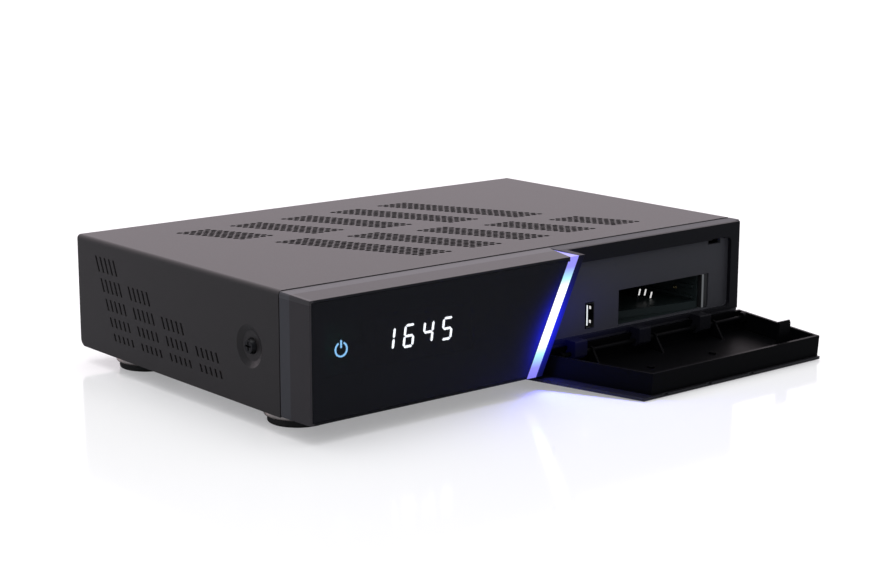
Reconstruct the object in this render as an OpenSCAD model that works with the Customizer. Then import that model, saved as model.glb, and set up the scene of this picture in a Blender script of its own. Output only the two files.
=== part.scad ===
// Satellite television receiver with a drop-down front flap.
// Casing frame: X runs right from the left side, Y runs back from the front face,
// Z runs up from the casing's bottom. in_casing() moves it to the part's own frame,
// whose origin is on the floor under the middle of the whole, flap open.

/* [Casing] */
// Width of the casing
body_w = 300; // [292:1:330]
// Depth of the casing without its rear sockets
body_d = 202; // [198:1:240]
// Height of the casing without its feet
body_h = 58.8; // [58:0.2:66]
// Height of the casing's bottom above the floor
foot_gap = 8.5; // [8:0.1:14]
// Thickness of the cover's steel sheet
sheet_t = 0.8; // [0.6:0.1:1.2]
// Outer radius of the cover's long bends
bend_r = 2.2; // [1.6:0.1:4]
// Radius of the rear lower corners of the cover's sides
side_corner_r = 4; // [2:0.5:8]
// Height of the lip that the cover turns down over the rear panel
rear_lip_h = 9; // [7:0.5:12]
// Thickness of the base's steel sheet
base_t = 1; // [0.8:0.1:1.5]
// Height of the base's side flanges
flange_h = 9; // [6:0.5:14]
// Thickness of the rear panel
rear_t = 1; // [0.8:0.1:1.5]
// Clearance between the cover and what it slides over
cover_fit = 0.3; // [0.2:0.05:0.6]

/* [Top vents] */
// Number of slanted vent bands
band_count = 5; // [3:1:5]
// Distance between the bands along the front
band_pitch = 33; // [28:0.2:34]
// Distance from the left side to the rear end of the first band
band_x = 39.8; // [36:0.5:50]
// Distance from the front face to the front ends of the bands
band_front_y = 44; // [42:0.5:60]
// Distance from the casing's rear to the rear ends of the bands
band_rear_gap = 30; // [24:0.5:40]
// Lean of the bands from the front to back direction
band_lean = 25.5; // [15:0.5:30]
// Turn of the bands' ends out of the front's direction
band_end_turn = 5; // [0:0.5:8]
// Width of the bands along the front
band_w = 19.8; // [12:0.2:24]
// How far the vent strips lie under the cover's top
screen_drop = 0.2; // [0.1:0.05:0.4]
// Distance from the front face to the plain strip that parts the bands, at the first band
split_y = 127; // [120:0.5:135]
// How much nearer to the front the plain strip lies at each next band
split_step = 10.1; // [6:0.1:11]
// Width of the plain strip that parts the bands
split_w = 15.5; // [10:0.5:20]

/* [Side vents] */
// Distance from the front face to the first slot of the first column
slot_y = 183; // [176:0.5:186]
// Distance between the columns of slot groups
slot_col_pitch = 26.4; // [24:0.1:30]
// Columns of slot groups
slot_cols = 4; // [2:1:5]
// Rows of slot groups
slot_rows = 5; // [3:1:5]
// Slots in a group
slot_count = 5; // [3:1:5]
// Distance between the slots of a group
slot_pitch = 4.25; // [3:0.05:4.6]
// Width of a slot
slot_w = 1.5; // [1:0.1:2]
// Height of the slots in the top row
slot_h = 7.8; // [7:0.1:8.4]
// How much shorter the slots of each next row are
slot_shrink = 1; // [0.5:0.1:1.2]
// Plain strip between two rows of slots
slot_gap = 3.2; // [2.5:0.1:3.6]
// Distance from the casing's top to the first row of slots
slot_drop = 8.5; // [7:0.5:10]
// Lean of the slots from the upright
slot_lean = 22.8; // [10:0.2:30]

/* [Side screws] */
// Distance from the front face to the side screws
dimple_y = 47; // [40:0.5:56]
// Height of the side screws above the casing's bottom
dimple_z = 28.8; // [24:0.2:34]
// Outer diameter of the pressed dimple round a side screw
dimple_d = 20.4; // [18:0.2:24]
// Diameter of the dimple's flat floor
dimple_floor_d = 14.4; // [12:0.2:16]
// Depth of the dimple
dimple_depth = 1.6; // [1:0.1:2]
// Head diameter of the casing screws
screw_head_d = 8; // [6:0.2:9]
// Head height of the casing screws
screw_head_h = 2.2; // [1.6:0.1:2.6]
// Shank diameter of the casing screws
screw_d = 3; // [2.5:0.1:3.5]
// Length of a casing screw under its head
screw_len = 6; // [5:0.5:8]

/* [Front moulding] */
// Depth of the front moulding
bezel_d = 22.6; // [21.8:0.1:28]
// Gap between the moulding and the cover
seam = 0.7; // [0.4:0.1:1.2]
// Wall thickness of the moulding
bezel_wall = 2; // [1.6:0.1:2.4]
// How far the moulding's front edge lies inside the casing's height, top and bottom
bezel_draft = 0.9; // [0.6:0.1:1.5]
// How far the moulding's rear edge lies inside the casing's height, top and bottom
bezel_inset = 0.3; // [0.1:0.1:0.5]
// Corner radius of the moulding's front outline
bezel_r = 1.6; // [1:0.1:3]
// Thickness of the front glass
glass_t = 2; // [1.5:0.1:2.5]
// Width of the lip round the glass
glass_lip = 1.3; // [1:0.1:2]
// Gap round the glass and the light guide
glass_gap = 0.2; // [0.15:0.05:0.4]

/* [Light guide] */
// Distance from the left side to the guide's left edge at the casing's bottom
bar_x = 129.5; // [122:0.5:132]
// Width of the guide along the front
bar_w = 5.9; // [4:0.1:8]
// Lean of the guide from the upright
bar_lean = 26; // [20:0.5:28]
// Depth of the guide behind the front face
bar_depth = 8; // [6:0.5:9.5]
// Depth of the guide's wedge along the top
bar_top_d = 19.5; // [12:0.5:21]
// Thickness of the guide's wedge
bar_top_t = 3; // [2:0.1:4]
// Width of the dark rim between the guide and the flap
rim_w = 4; // [3:0.1:6]

/* [Flap bay] */
// Depth of the bay that the flap closes
bay_d = 12.8; // [12:0.1:13.6]
// How far the bay's frame stops short of the right side
bay_step_w = 3.5; // [2.5:0.1:5]
// Depth of the frame's narrower part
bay_step_d = 16.5; // [16.2:0.1:18]
// Depth of the pocket behind the frame's face
pocket_d = 3; // [2:0.1:3.6]
// Thickness of the pocket's floor
pocket_floor_t = 2; // [1.5:0.1:2.2]
// Distance from the rim to the pocket's slanted edge
pocket_left = 12.5; // [9:0.5:14]
// Distance from the right side to the pocket's right edge
pocket_right = 10; // [8:0.5:12]
// Height of the pocket's lower edge above the casing's bottom
pocket_z = 12.6; // [12.2:0.1:12.8]
// Width of the frame above the pocket
pocket_top = 8.4; // [7.8:0.1:10]
// Corner radius of the pocket
pocket_r = 2.6; // [1.5:0.1:4]

/* [Flap] */
// Distance from the front face back to the hinge axis
hinge_y = 9.5; // [9.2:0.1:9.8]
// Height of the hinge axis above the casing's bottom
hinge_z = 5.5; // [5.3:0.1:5.8]
// Radius of the hinge rod
rod_r = 1.25; // [1:0.05:1.4]
// Running clearance of the rod in the arms' bores, on the radius
rod_play = 0.05; // [0.02:0.01:0.1]
// Radius of the arms' knuckles
knuckle_r = 3; // [2.6:0.1:3.1]
// Width of a hinge arm
arm_w = 8.4; // [6:0.2:10]
// Gap that the open flap keeps above the floor
flap_floor_gap = 0.4; // [0.3:0.1:2]
// Gap between the flap's face and the rim
flap_gap = 0.4; // [0.3:0.1:0.8]
// Thickness of the flap's face plate
face_t = 1.5; // [1.2:0.1:2]
// Thickness of the tray's floor
tray_floor_t = 1.2; // [1:0.1:1.6]
// Thickness of the tray's walls
tray_wall = 1.6; // [1.2:0.1:2]
// Depth of the flap from its face to its wall rims
flap_d = 12.4; // [11.5:0.1:12.5]
// Distance from the face plate's left edge to the tray's left wall
tray_left = 7.4; // [6:0.2:9]
// How far the tray's top wall lies inside the face plate's edge
tray_top = 1.6; // [1:0.1:2.4]
// Thickness of a rib
rib_t = 1.2; // [0.8:0.1:1.6]
// Length of a rib from the hinge axis along the tray
rib_len = 8.5; // [6:0.5:11]
// Width of the latch tongue
tongue_w = 8.6; // [6:0.2:10]
// Thickness of the latch tongue
tongue_t = 1.3; // [1:0.1:1.5]
// Height of the latch tongue's lower face when closed
tongue_z = 47.9; // [47:0.1:48.2]
// Reach of the latch tongue behind the front face when closed
tongue_reach = 21.4; // [18:0.2:21.6]
// Distance from the right side to the latch tongue
tongue_right = 16; // [14:0.5:20]

/* [Front sockets] */
// Width of a USB socket's shell
usb_w = 13.1; // [13:0.1:13.4]
// Height of a USB socket's shell
usb_h = 5.8; // [5.7:0.1:6]
// Length of a USB socket's shell
usb_len = 14; // [12:0.5:18]
// Wall thickness of the socket shells
shell_t = 0.4; // [0.3:0.05:0.5]
// Distance from the rim at the casing's bottom to the front USB socket
front_usb_x = 45; // [41:0.5:46]
// Height of the front USB socket's lower end above the casing's bottom
front_usb_z = 15; // [14:0.5:18]
// Distance from the right side to the card opening
card_right = 24; // [22:0.5:26]
// Width of the card opening
card_w = 68; // [66:0.5:70]
// Height of the card opening's lower edge above the casing's bottom
card_z = 13.2; // [13:0.1:14]
// Height of the card opening
card_h = 18.6; // [17.5:0.1:19]
// Length of the card cage behind the pocket's floor
card_len = 62; // [55:0.5:66]
// Width of the eject button
eject_w = 4.4; // [3.5:0.1:5]
// Travel of the eject button
eject_travel = 5; // [3:0.5:6]
// Clearance round the eject button
eject_play = 0.3; // [0.2:0.05:0.5]

/* [Display] */
// Distance from the left side to the power mark's centre
mark_x = 18.9; // [15:0.1:24]
// Height of the power mark's centre above the casing's bottom
mark_z = 32.9; // [28:0.1:38]
// Outer radius of the power mark
mark_r = 3.6; // [2.5:0.1:5]
// Line width of the power mark
mark_line = 0.8; // [0.5:0.1:1.2]
// Distance from the left side to the first digit
digit_x = 43.2; // [40:0.2:46]
// Height of the digits' lower edge above the casing's bottom
digit_z = 27.8; // [25:0.1:30]
// Distance between digits
digit_pitch = 11.5; // [10.5:0.1:12]
// Width of a digit
digit_w = 6.2; // [5:0.1:7]
// Height of a digit
digit_h = 11; // [9:0.1:13]
// Width of a segment
segment_w = 1.1; // [0.8:0.1:1.5]
// Lean of the digits
digit_lean = 8; // [0:0.5:12]
// Thickness of the lit marks
lit_t = 0.3; // [0.2:0.05:0.4]

/* [Feet] */
// Outer radius of a foot's bright ring
foot_r = 16.5; // [14:0.1:18]
// Radius of the rubber pad
pad_r = 14.8; // [12:0.1:15.2]
// Height of the bright ring
ring_h = 5; // [4:0.1:6]
// Distance from a side to a foot's centre
foot_x = 22.2; // [20:0.2:30]
// Distance from the front face to a front foot's centre
foot_front = 39.8; // [39.6:0.2:48]
// Distance from the rear to a rear foot's centre
foot_rear = 30; // [24:0.5:40]

/* [Boards] */
// Thickness of the circuit boards
pcb_t = 1.6; // [1.2:0.1:2]
// Height of the board standoffs above the base sheet
standoff_h = 6; // [5:0.5:7]
// Outer radius of a standoff
standoff_r = 2.75; // [2.4:0.05:3.2]
// Distance from the left side to the main board
main_x = 96; // [93:0.5:100]
// Distance from the front face to the main board
main_y = 66; // [60:0.5:70]
// Distance from the left side to the power board
power_x = 9; // [8:0.5:12]
// Width of the power board
power_w = 78; // [72:0.5:80]
// Distance from the front face to the power board
power_y = 72; // [68:0.5:76]

/* [Rear sockets] */
// Height of the rear sockets' centre line above the main board
socket_rise = 8; // [7.6:0.1:9]
// Distance from the right side to the outermost aerial socket
aerial_right = 22; // [20:0.5:26]
// Distance between aerial sockets
aerial_pitch = 21; // [20:0.5:23]
// Number of aerial sockets
aerial_count = 3; // [2:1:3]
// Outer radius of an aerial socket's thread
aerial_r = 4.76; // [4.7:0.01:4.8]
// Length of an aerial socket behind the rear panel
aerial_len = 11.5; // [9:0.5:13]
// Distance from the left side to the mains inlet's centre
inlet_x = 26; // [24:0.5:30]
// Distance from the left side to the mains switch's centre
rocker_x = 58; // [56:0.5:64]
// Height of the mains inlet's and switch's centre above the casing's bottom
mains_z = 26; // [23:0.5:30]
// Rocker's full swing between off and on
rocker_swing = 16; // [10:1:20]

/* [Hidden] */

// Faces of a full circle, and of a small one
fine = 64;
small = 24;
// Overshoot of a cut past the faces that it opens
cut = 1;

// Heights and depths that several pieces share
glass_top = body_h - bezel_draft - glass_lip;
glass_bottom = bezel_draft + glass_lip;
cover_y = bezel_d + seam;
inner_x = sheet_t + cover_fit;
rear_out_y = body_d - sheet_t;
rear_in_y = rear_out_y - rear_t;
pocket_floor_y = bay_d + pocket_d;
pocket_back_y = pocket_floor_y + pocket_floor_t;
board_z = base_t + standoff_h;
board_top = board_z + pcb_t;
socket_z = board_top + socket_rise;
front_wall_y = bezel_d;
front_wall_h = 45;

// Open angle: the far edge of the face plate comes to rest just above the floor
flap_top_reach = body_h - bezel_draft - hinge_z;
flap_reach = norm([flap_top_reach, hinge_y]);
flap_drop = hinge_z + foot_gap - flap_floor_gap;
flap_open = 90 + asin(flap_drop / flap_reach) - atan2(hinge_y, flap_top_reach);

// Lowest and highest Y of the whole, for the origin between them
open_front_y = hinge_y - flap_top_reach * sin(flap_open) - (hinge_y - face_t) * cos(flap_open);
open_rear_y = body_d + aerial_len;
origin_y = (open_front_y + open_rear_y) / 2;

// Slanted lines on the front: x at a height, for an offset to the right of the guide's left edge
function lean_x(z, offset = 0) = bar_x + offset + z * tan(bar_lean);
bay_x = bar_w + rim_w;
face_x = bay_x + flap_gap;
card_x1 = body_w - card_right;
card_x0 = card_x1 - card_w;
tongue_x1 = body_w - tongue_right;

function unit(v) = v / norm(v);

// Points of one rounded corner b between its neighbours a and c
function corner_arc(a, b, c, r, steps) =
    let (u = unit(a - b), v = unit(c - b), half = acos(u * v) / 2)
    let (centre = b + unit(u + v) * r / sin(half))
    let (start = b + u * r / tan(half) - centre, end = b + v * r / tan(half) - centre)
    let (a0 = atan2(start[1], start[0]), a1 = atan2(end[1], end[0]))
    let (turn = ((a1 - a0 + 540) % 360) - 180)
    [for (i = [0 : steps]) centre + r * [cos(a0 + turn * i / steps), sin(a0 + turn * i / steps)]];

// Outline with every corner rounded to one radius
function rounded(points, r, steps = 4) =
    let (n = len(points))
    [for (i = [0 : n - 1])
        each corner_arc(points[(i + n - 1) % n], points[i], points[(i + 1) % n], r, steps)];

module in_casing() {
    translate([-body_w / 2, -origin_y, foot_gap]) children();
}

// Block between two opposite corners
module block(low, high) {
    translate(low) cube(high - low);
}

// Profile in Y and Z, carried along X
module along_x(x0, x1) {
    translate([x0, 0, 0]) rotate([90, 0, 90]) linear_extrude(x1 - x0) children();
}

// Profile in X and Z, carried along Y
module along_y(y0, y1) {
    translate([0, y1, 0]) rotate([90, 0, 0]) linear_extrude(y1 - y0) children();
}

// Profile in X and Y, carried along Z
module along_z(z0, z1) {
    translate([0, 0, z0]) linear_extrude(z1 - z0) children();
}

module bar_along_x(x0, x1, y, z, r, faces = small) {
    translate([x0, y, z]) rotate([0, 90, 0]) cylinder(h = x1 - x0, r = r, $fn = faces);
}

module bar_along_y(y0, y1, x, z, r, faces = small) {
    translate([x, y1, z]) rotate([90, 0, 0]) cylinder(h = y1 - y0, r = r, $fn = faces);
}

module bar_along_z(z0, z1, x, y, r, faces = small) {
    translate([x, y, z0]) cylinder(h = z1 - z0, r = r, $fn = faces);
}

// Outline between two slanted edges, offsets counted from the guide's left edge
module slanted(offset0, offset1, z0, z1) {
    polygon([[lean_x(z0, offset0), z0], [lean_x(z0, offset1), z0],
        [lean_x(z1, offset1), z1], [lean_x(z1, offset0), z1]]);
}

// ---- Cover -------------------------------------------------------------------------------

band_rear_y = body_d - band_rear_gap;

// Left edge of a vent band at a depth; the bands lean to the right towards the front
function band_edge(i, y) = band_x + i * band_pitch + (band_rear_y - y) * tan(band_lean);

// Outline of one part of a band between two depths, its ends turned a little
function band_part(i, y0, y1) =
    let (turn = band_w / 2 * tan(band_end_turn))
    [[band_edge(i, y0 + turn), y0 + turn], [band_edge(i, y0 - turn) + band_w, y0 - turn],
        [band_edge(i, y1 - turn) + band_w, y1 - turn], [band_edge(i, y1 + turn), y1 + turn]];

// Both parts of every band, before and behind the plain strip
function band_parts() =
    [for (i = [0 : band_count - 1])
        let (middle = split_y - i * split_step)
        each [band_part(i, band_front_y, middle - split_w / 2),
            band_part(i, middle + split_w / 2, band_rear_y)]];

function slot_row_h(row) = slot_h - row * slot_shrink;
function slot_row_top(row) =
    body_h - slot_drop - row * (slot_h + slot_gap) + slot_shrink * row * (row - 1) / 2;

// One leaning slot in Y and Z, from the upper end of its front edge
function slot_outline(y, top, low) =
    let (shift = (top - low) * tan(slot_lean))
    [[y - shift, low], [y - shift + slot_w, low], [y + slot_w, top], [y, top]];

// Staircase of slot groups in a side
function slot_outlines() =
    [for (row = [0 : slot_rows - 1], col = [0 : min(row, slot_cols - 1)], k = [0 : slot_count - 1])
        let (top = slot_row_top(row), drop = (slot_row_top(0) - top) * tan(slot_lean))
        slot_outline(slot_y - drop - col * slot_col_pitch - k * slot_pitch, top,
            top - slot_row_h(row))];

// Outline with holes, each hole of the same number of points
module perforated(outline, holes) {
    n = len(outline);
    m = len(holes[0]);
    polygon(concat(outline, [for (hole = holes) each hole]),
        concat([[for (i = [0 : n - 1]) i]],
            [for (h = [0 : len(holes) - 1]) [for (i = [0 : m - 1]) n + h * m + i]]));
}

// Flat top between the two long bends
module cover_top() {
    along_z(body_h - sheet_t, body_h)
        perforated([[bend_r, cover_y], [body_w - bend_r, cover_y], [body_w - bend_r, body_d],
            [bend_r, body_d]], band_parts());
}

module cover_side() {
    along_x(0, sheet_t)
        perforated([[cover_y, 0], [body_d, 0], [body_d, body_h - bend_r], [cover_y, body_h - bend_r]],
            slot_outlines());
}

// Quarter bend between a side and the top
module cover_bend() {
    z = body_h - bend_r;
    intersection() {
        difference() {
            bar_along_y(cover_y, body_d, bend_r, z, bend_r);
            bar_along_y(cover_y - cut, body_d + cut, bend_r, z, bend_r - sheet_t);
        }
        block([0, cover_y, z], [bend_r, body_d, body_h]);
    }
}

// Pressed cone in a side sheet; grow fattens it to the sheet's inner face
module dimple(grow) {
    translate([0, dimple_y, dimple_z]) rotate([0, 90, 0])
        cylinder(h = dimple_depth + grow, r1 = dimple_d / 2 + grow / 2,
            r2 = dimple_floor_d / 2 + grow / 2, $fn = fine);
}

// The same thing on the left side and mirrored on the right side
module both_sides() {
    children();
    translate([body_w, 0, 0]) mirror([1, 0, 0]) children();
}

module top_cover() {
    color([0.09, 0.085, 0.09]) in_casing() difference() {
        union() {
            cover_top();
            both_sides() {
                cover_side();
                cover_bend();
                dimple(sheet_t);
            }
            block([bend_r, body_d - sheet_t, body_h - rear_lip_h],
                [body_w - bend_r, body_d, body_h - sheet_t / 2]);
        }
        both_sides() dimple(0);
        along_x(-cut, body_w + cut) difference() {
            translate([body_d - side_corner_r, -cut]) square([side_corner_r + cut, side_corner_r + cut]);
            translate([body_d - side_corner_r, side_corner_r]) circle(side_corner_r, $fn = fine);
        }
        bar_along_x(-cut, body_w + cut, dimple_y, dimple_z, screw_d / 2 + cover_fit);
        rear_screw_places()
            bar_along_y(body_d - 2 * sheet_t, body_d + cut, 0, 0, screw_d / 2 + cover_fit);
    }
}

mesh_cols = 3;
mesh_rows = 5;
mesh_web = 0.1;

// Point at a share of a band part's width and of its length
function within(part, across, along) =
    (part[0] * (1 - across) + part[1] * across) * (1 - along)
        + (part[3] * (1 - across) + part[2] * across) * along;

// Four corners of one opening in a band part's grid
function mesh_opening(part, col, row) =
    [for (corner = [[0, 0], [1, 0], [1, 1], [0, 1]])
        within(part, (col + mesh_web + corner[0] * (1 - 2 * mesh_web)) / mesh_cols,
            (row + mesh_web + corner[1] * (1 - 2 * mesh_web)) / mesh_rows)];

// Strips with a grid of openings that fill the cover's vent windows
module vent_screens() {
    color([0.05, 0.05, 0.055]) in_casing() for (part = band_parts())
        along_z(body_h - sheet_t, body_h - screen_drop)
            perforated(part, [for (col = [0 : mesh_cols - 1], row = [0 : mesh_rows - 1])
                mesh_opening(part, col, row)]);
}

rear_screw_edge = 18;
rear_screw_z = body_h - rear_lip_h / 2 - sheet_t / 2;

module rear_screw_places() {
    for (x = [rear_screw_edge, body_w / 2, body_w - rear_screw_edge])
        translate([x, 0, rear_screw_z]) children();
}

// ---- Base and rear panel ------------------------------------------------------------------

base_slot = [26, 2.4];
base_slot_pitch = 6;
base_slot_count = 12;

module foot_places() {
    for (x = [foot_x, body_w - foot_x], y = [foot_front, body_d - foot_rear])
        translate([x, y, 0]) children();
}

module base_vents() {
    for (x = [body_w * 0.42, body_w * 0.66], i = [0 : base_slot_count - 1])
        translate([x, main_y + 24 + i * base_slot_pitch]) square(base_slot);
}

module chassis_base() {
    color([0.55, 0.56, 0.58]) in_casing() difference() {
        union() {
            block([inner_x, front_wall_y, 0], [body_w - inner_x, rear_in_y - 0.05, base_t]);
            for (x = [inner_x, body_w - inner_x - base_t])
                block([x, front_wall_y, 0], [x + base_t, rear_in_y - 0.05, flange_h]);
            block([inner_x, front_wall_y, 0],
                [body_w - inner_x, front_wall_y + base_t, front_wall_h]);
            both_sides() side_screw_lug();
        }
        along_z(-cut, base_t + cut) base_vents();
        foot_places() translate([0, 0, -cut]) cylinder(h = base_t + 2 * cut, d = screw_d + cover_fit,
            $fn = small);
        block([card_x0 - 4, front_wall_y - cut, card_z - 4],
            [card_x1 + 4, front_wall_y + base_t + cut, card_z + card_h + 4]);
        block([front_usb_x0 - 4, front_wall_y - cut, front_usb_z - 4],
            [front_usb_x0 + usb_h + 4, front_wall_y + base_t + cut, front_usb_z + usb_w + 4]);
        block([inner_x + 14, front_wall_y - cut, base_t + 4],
            [bar_x - 18, front_wall_y + base_t + cut, front_wall_h + cut]);
        bar_along_x(-cut, body_w + cut, dimple_y, dimple_z, screw_d / 2);
        bezel_screw_places() bar_along_y(front_wall_y - cut, front_wall_y + base_t + cut, 0, 0,
            screw_d / 2 + cover_fit);
    }
}

lug_w = 18;

// Lug of the base that a side screw bites into
module side_screw_lug() {
    x0 = sheet_t + dimple_depth + cover_fit;
    along_x(x0, x0 + base_t) {
        translate([dimple_y - lug_w / 2, 0]) square([lug_w, dimple_z]);
        translate([dimple_y, dimple_z]) circle(lug_w / 2, $fn = fine);
    }
}

front_usb_x0 = bar_x + bay_x + front_usb_x;

aerial_x0 = body_w - aerial_right;
function aerial_x(i) = aerial_x0 - i * aerial_pitch;
av_count = 3;
av_pitch = 13;
av_x = main_x + 10;
av_r = 4.2;
optical_x = av_x + av_count * av_pitch + 5;
optical_w = 10;
hdmi_x = optical_x + 19;
hdmi_w = 15;
hdmi_h = 5.8;
network_x = body_w - aerial_right - aerial_count * aerial_pitch - 6;
network_w = 16;
network_h = 13.6;
rear_usb_x = network_x - 18.5;
hole_fit = 0.3;
flat_rise = 3.6;

inlet_w = 25;
inlet_h = 16;
rocker_w = 15;
rocker_h = 21;
rocker_body_w = 13;
rocker_body_h = 19.2;
rear_slot = [2.2, 16];
rear_foot_d = 8;

module rear_panel() {
    color([0.6, 0.61, 0.63]) in_casing() difference() {
        union() {
            block([inner_x, rear_in_y, base_t],
                [body_w - inner_x, rear_out_y, body_h - sheet_t - cover_fit]);
            block([inner_x + base_t, rear_in_y - rear_foot_d, base_t],
                [body_w - inner_x - base_t, rear_out_y, base_t * 2]);
        }
        for (i = [0 : aerial_count - 1])
            bar_along_y(rear_in_y - cut, rear_out_y + cut, aerial_x(i), socket_z, aerial_root_r + hole_fit);
        for (i = [0 : av_count - 1])
            bar_along_y(rear_in_y - cut, rear_out_y + cut, av_x + i * av_pitch, socket_z, av_r + hole_fit);
        rear_window(optical_x, socket_z, optical_w, optical_w);
        rear_window(hdmi_x, board_top + flat_rise, hdmi_w, hdmi_h);
        rear_window(rear_usb_x, board_top + flat_rise, usb_w, usb_h);
        rear_window(network_x, board_top + network_h / 2, network_w, network_h);
        rear_window(inlet_x, mains_z, inlet_w, inlet_h);
        rear_window(rocker_x, mains_z, rocker_body_w, rocker_body_h);
        along_y(rear_in_y - cut, rear_out_y + cut) rear_slots();
        rear_screw_places() bar_along_y(rear_in_y - cut, rear_out_y + cut, 0, 0, screw_d / 2);
    }
}

module rear_window(x, z, w, h) {
    block([x - w / 2 - hole_fit, rear_in_y - cut, z - h / 2 - hole_fit],
        [x + w / 2 + hole_fit, rear_out_y + cut, z + h / 2 + hole_fit]);
}

// Row of upright vent slots above the sockets
module rear_slots() {
    for (i = [0 : 17])
        translate([main_x + 8 + i * 5.4, body_h - rear_lip_h - rear_slot[1] - 5]) square(rear_slot);
}

// ---- Front moulding -------------------------------------------------------------------------

// Side outline of the moulding: the front edges are drafted
module bezel_side() {
    polygon([[0, bezel_draft], [bezel_d, bezel_inset], [bezel_d, body_h - bezel_inset],
        [0, body_h - bezel_draft]]);
}

module bezel_front() {
    polygon(rounded([[0, 0], [body_w, 0], [body_w, body_h], [0, body_h]], bezel_r));
}

// Outline of the glass, grown by grow
module glass_outline(grow) {
    low = glass_bottom - grow;
    high = glass_top + grow;
    edge = -glass_gap - glass_lip / 2 + grow;
    polygon([[glass_lip - grow, low], [lean_x(low, edge), low], [lean_x(high, edge), high],
        [glass_lip - grow, high]]);
}

function pocket_points() =
    let (low = pocket_z, high = body_h - pocket_top, x1 = body_w - pocket_right)
    [[lean_x(low, bay_x + pocket_left), low], [x1, low], [x1, high],
        [lean_x(high, bay_x + pocket_left), high]];

// Hinge arms along the flap, as shares of the distance between the rim and the frame's right edge
arm_left = 32.5;
arm_right = body_w - 36.5;
arm_xs = [bar_x + bay_x + arm_left, (bar_x + bay_x + arm_left + arm_right) / 2, arm_right];
channel_r = 6.4;
arm_front = 3.9;
arm_root_z = 9.7;

module hinge_channel() {
    polygon([[hinge_y - channel_r, -cut], [bay_step_d - 0.1, -cut], [bay_step_d - 0.1, pocket_z - 2],
        [bay_d - cut, pocket_z - 2], [bay_d - cut, pocket_z - 0.6], [hinge_y - channel_r, pocket_z - 0.6]]);
}

// Side outline of a hinge arm: a knuckle hung from a root under the pocket
module arm_side() {
    translate([hinge_y, hinge_z]) circle(knuckle_r, $fn = fine);
    polygon(rounded([[hinge_y - arm_front, hinge_z - 1.2], [hinge_y, hinge_z - 1.2],
        [hinge_y + 1.8, hinge_z + 2], [hinge_y + 1.8, arm_root_z], [bay_step_d + 0.5, arm_root_z],
        [bay_step_d + 0.5, pocket_z - 0.2], [hinge_y - arm_front, pocket_z - 0.2]], 0.7, 3));
}

module front_bezel() {
    color([0.06, 0.06, 0.07]) in_casing() difference() {
        union() {
            difference() {
                intersection() {
                    along_x(0, body_w) bezel_side();
                    along_y(0, bezel_d) bezel_front();
                }
                bay_cuts();
            }
            for (x = arm_xs) along_x(x - arm_w / 2, x + arm_w / 2) arm_side();
            bezel_bosses();
        }
        left_cuts();
        right_cuts();
        for (x = arm_xs)
            bar_along_x(x - arm_w, x + arm_w, hinge_y, hinge_z, rod_r + rod_play, fine);
        bezel_screw_places() bar_along_y(bezel_d - screw_len - 2, bezel_d + cut, 0, 0, screw_d / 2);
    }
}

boss_r = 3.6;
boss_front = 3.8;
boss_len = bezel_d - boss_front;

module bezel_screw_places() {
    for (x = [inner_x + 8, bar_x - 10], z = [9, front_wall_h - 5])
        translate([x, 0, z]) children();
}

module bezel_bosses() {
    bezel_screw_places() bar_along_y(bezel_d - boss_len, bezel_d, 0, 0, boss_r);
}

// The bay in front of the frame, the step at its right, the pocket and the hinge channel
module bay_cuts() {
    along_y(-cut, bay_d) slanted(bay_x, 2 * body_w, -cut, body_h + cut);
    block([body_w - bay_step_w, -cut, -cut], [body_w + cut, bay_step_d, body_h + cut]);
    along_y(bay_d - cut, pocket_floor_y) polygon(rounded(pocket_points(), pocket_r));
    intersection() {
        along_x(0, body_w + cut) hinge_channel();
        along_y(-cut, bezel_d) slanted(bay_x, 2 * body_w, -2 * cut, body_h);
    }
}

front_wall_t = 1.8;
window_low = 21;
window_high = 46;
window_x0 = mark_x - 9;
window_x1 = digit_x + 4 * digit_pitch + 8;

// Seat and hollow of the left part, and the slot for the light guide
module left_cuts() {
    back = glass_t + 0.2 + front_wall_t;
    along_y(-cut, glass_t + 0.2) glass_outline(glass_gap);
    along_y(-cut, bar_depth + glass_gap)
        slanted(-glass_gap, bar_w + glass_gap, -cut, wedge_low - glass_gap + cut);
    intersection() {
        along_y(-2 * cut, bar_top_d + 1)
            slanted(-glass_gap, bar_w + glass_gap, wedge_low - 1, body_h + 2 * cut);
        light_wedge(glass_gap);
    }
    difference() {
        along_y(back, bezel_d + cut) polygon([[bezel_wall, bezel_wall + 0.6],
            [lean_x(bezel_wall, bar_w), bezel_wall + 0.6],
            [lean_x(body_h - bar_top_t - 3, bar_w), body_h - bar_top_t - 3],
            [bezel_wall, body_h - bar_top_t - 3]]);
        bezel_bosses();
        guide_shelf();
    }
    block([window_x0, glass_t, window_low], [window_x1, back + cut, window_high]);
}

// Web of the moulding that closes the light channel's left side
module guide_shelf() {
    along_y(glass_t, bar_depth + glass_gap) slanted(-glass_gap - 2.2, -glass_gap - 0.6, 0, body_h);
}

right_hollow_y = bay_d + 2.2;
catch_x0 = tongue_x1 - tongue_w + 1;
catch_x1 = tongue_x1 - 1;
catch_z0 = tongue_z - 2.6;
catch_z1 = tongue_z + tongue_t + 2.9;

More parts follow.
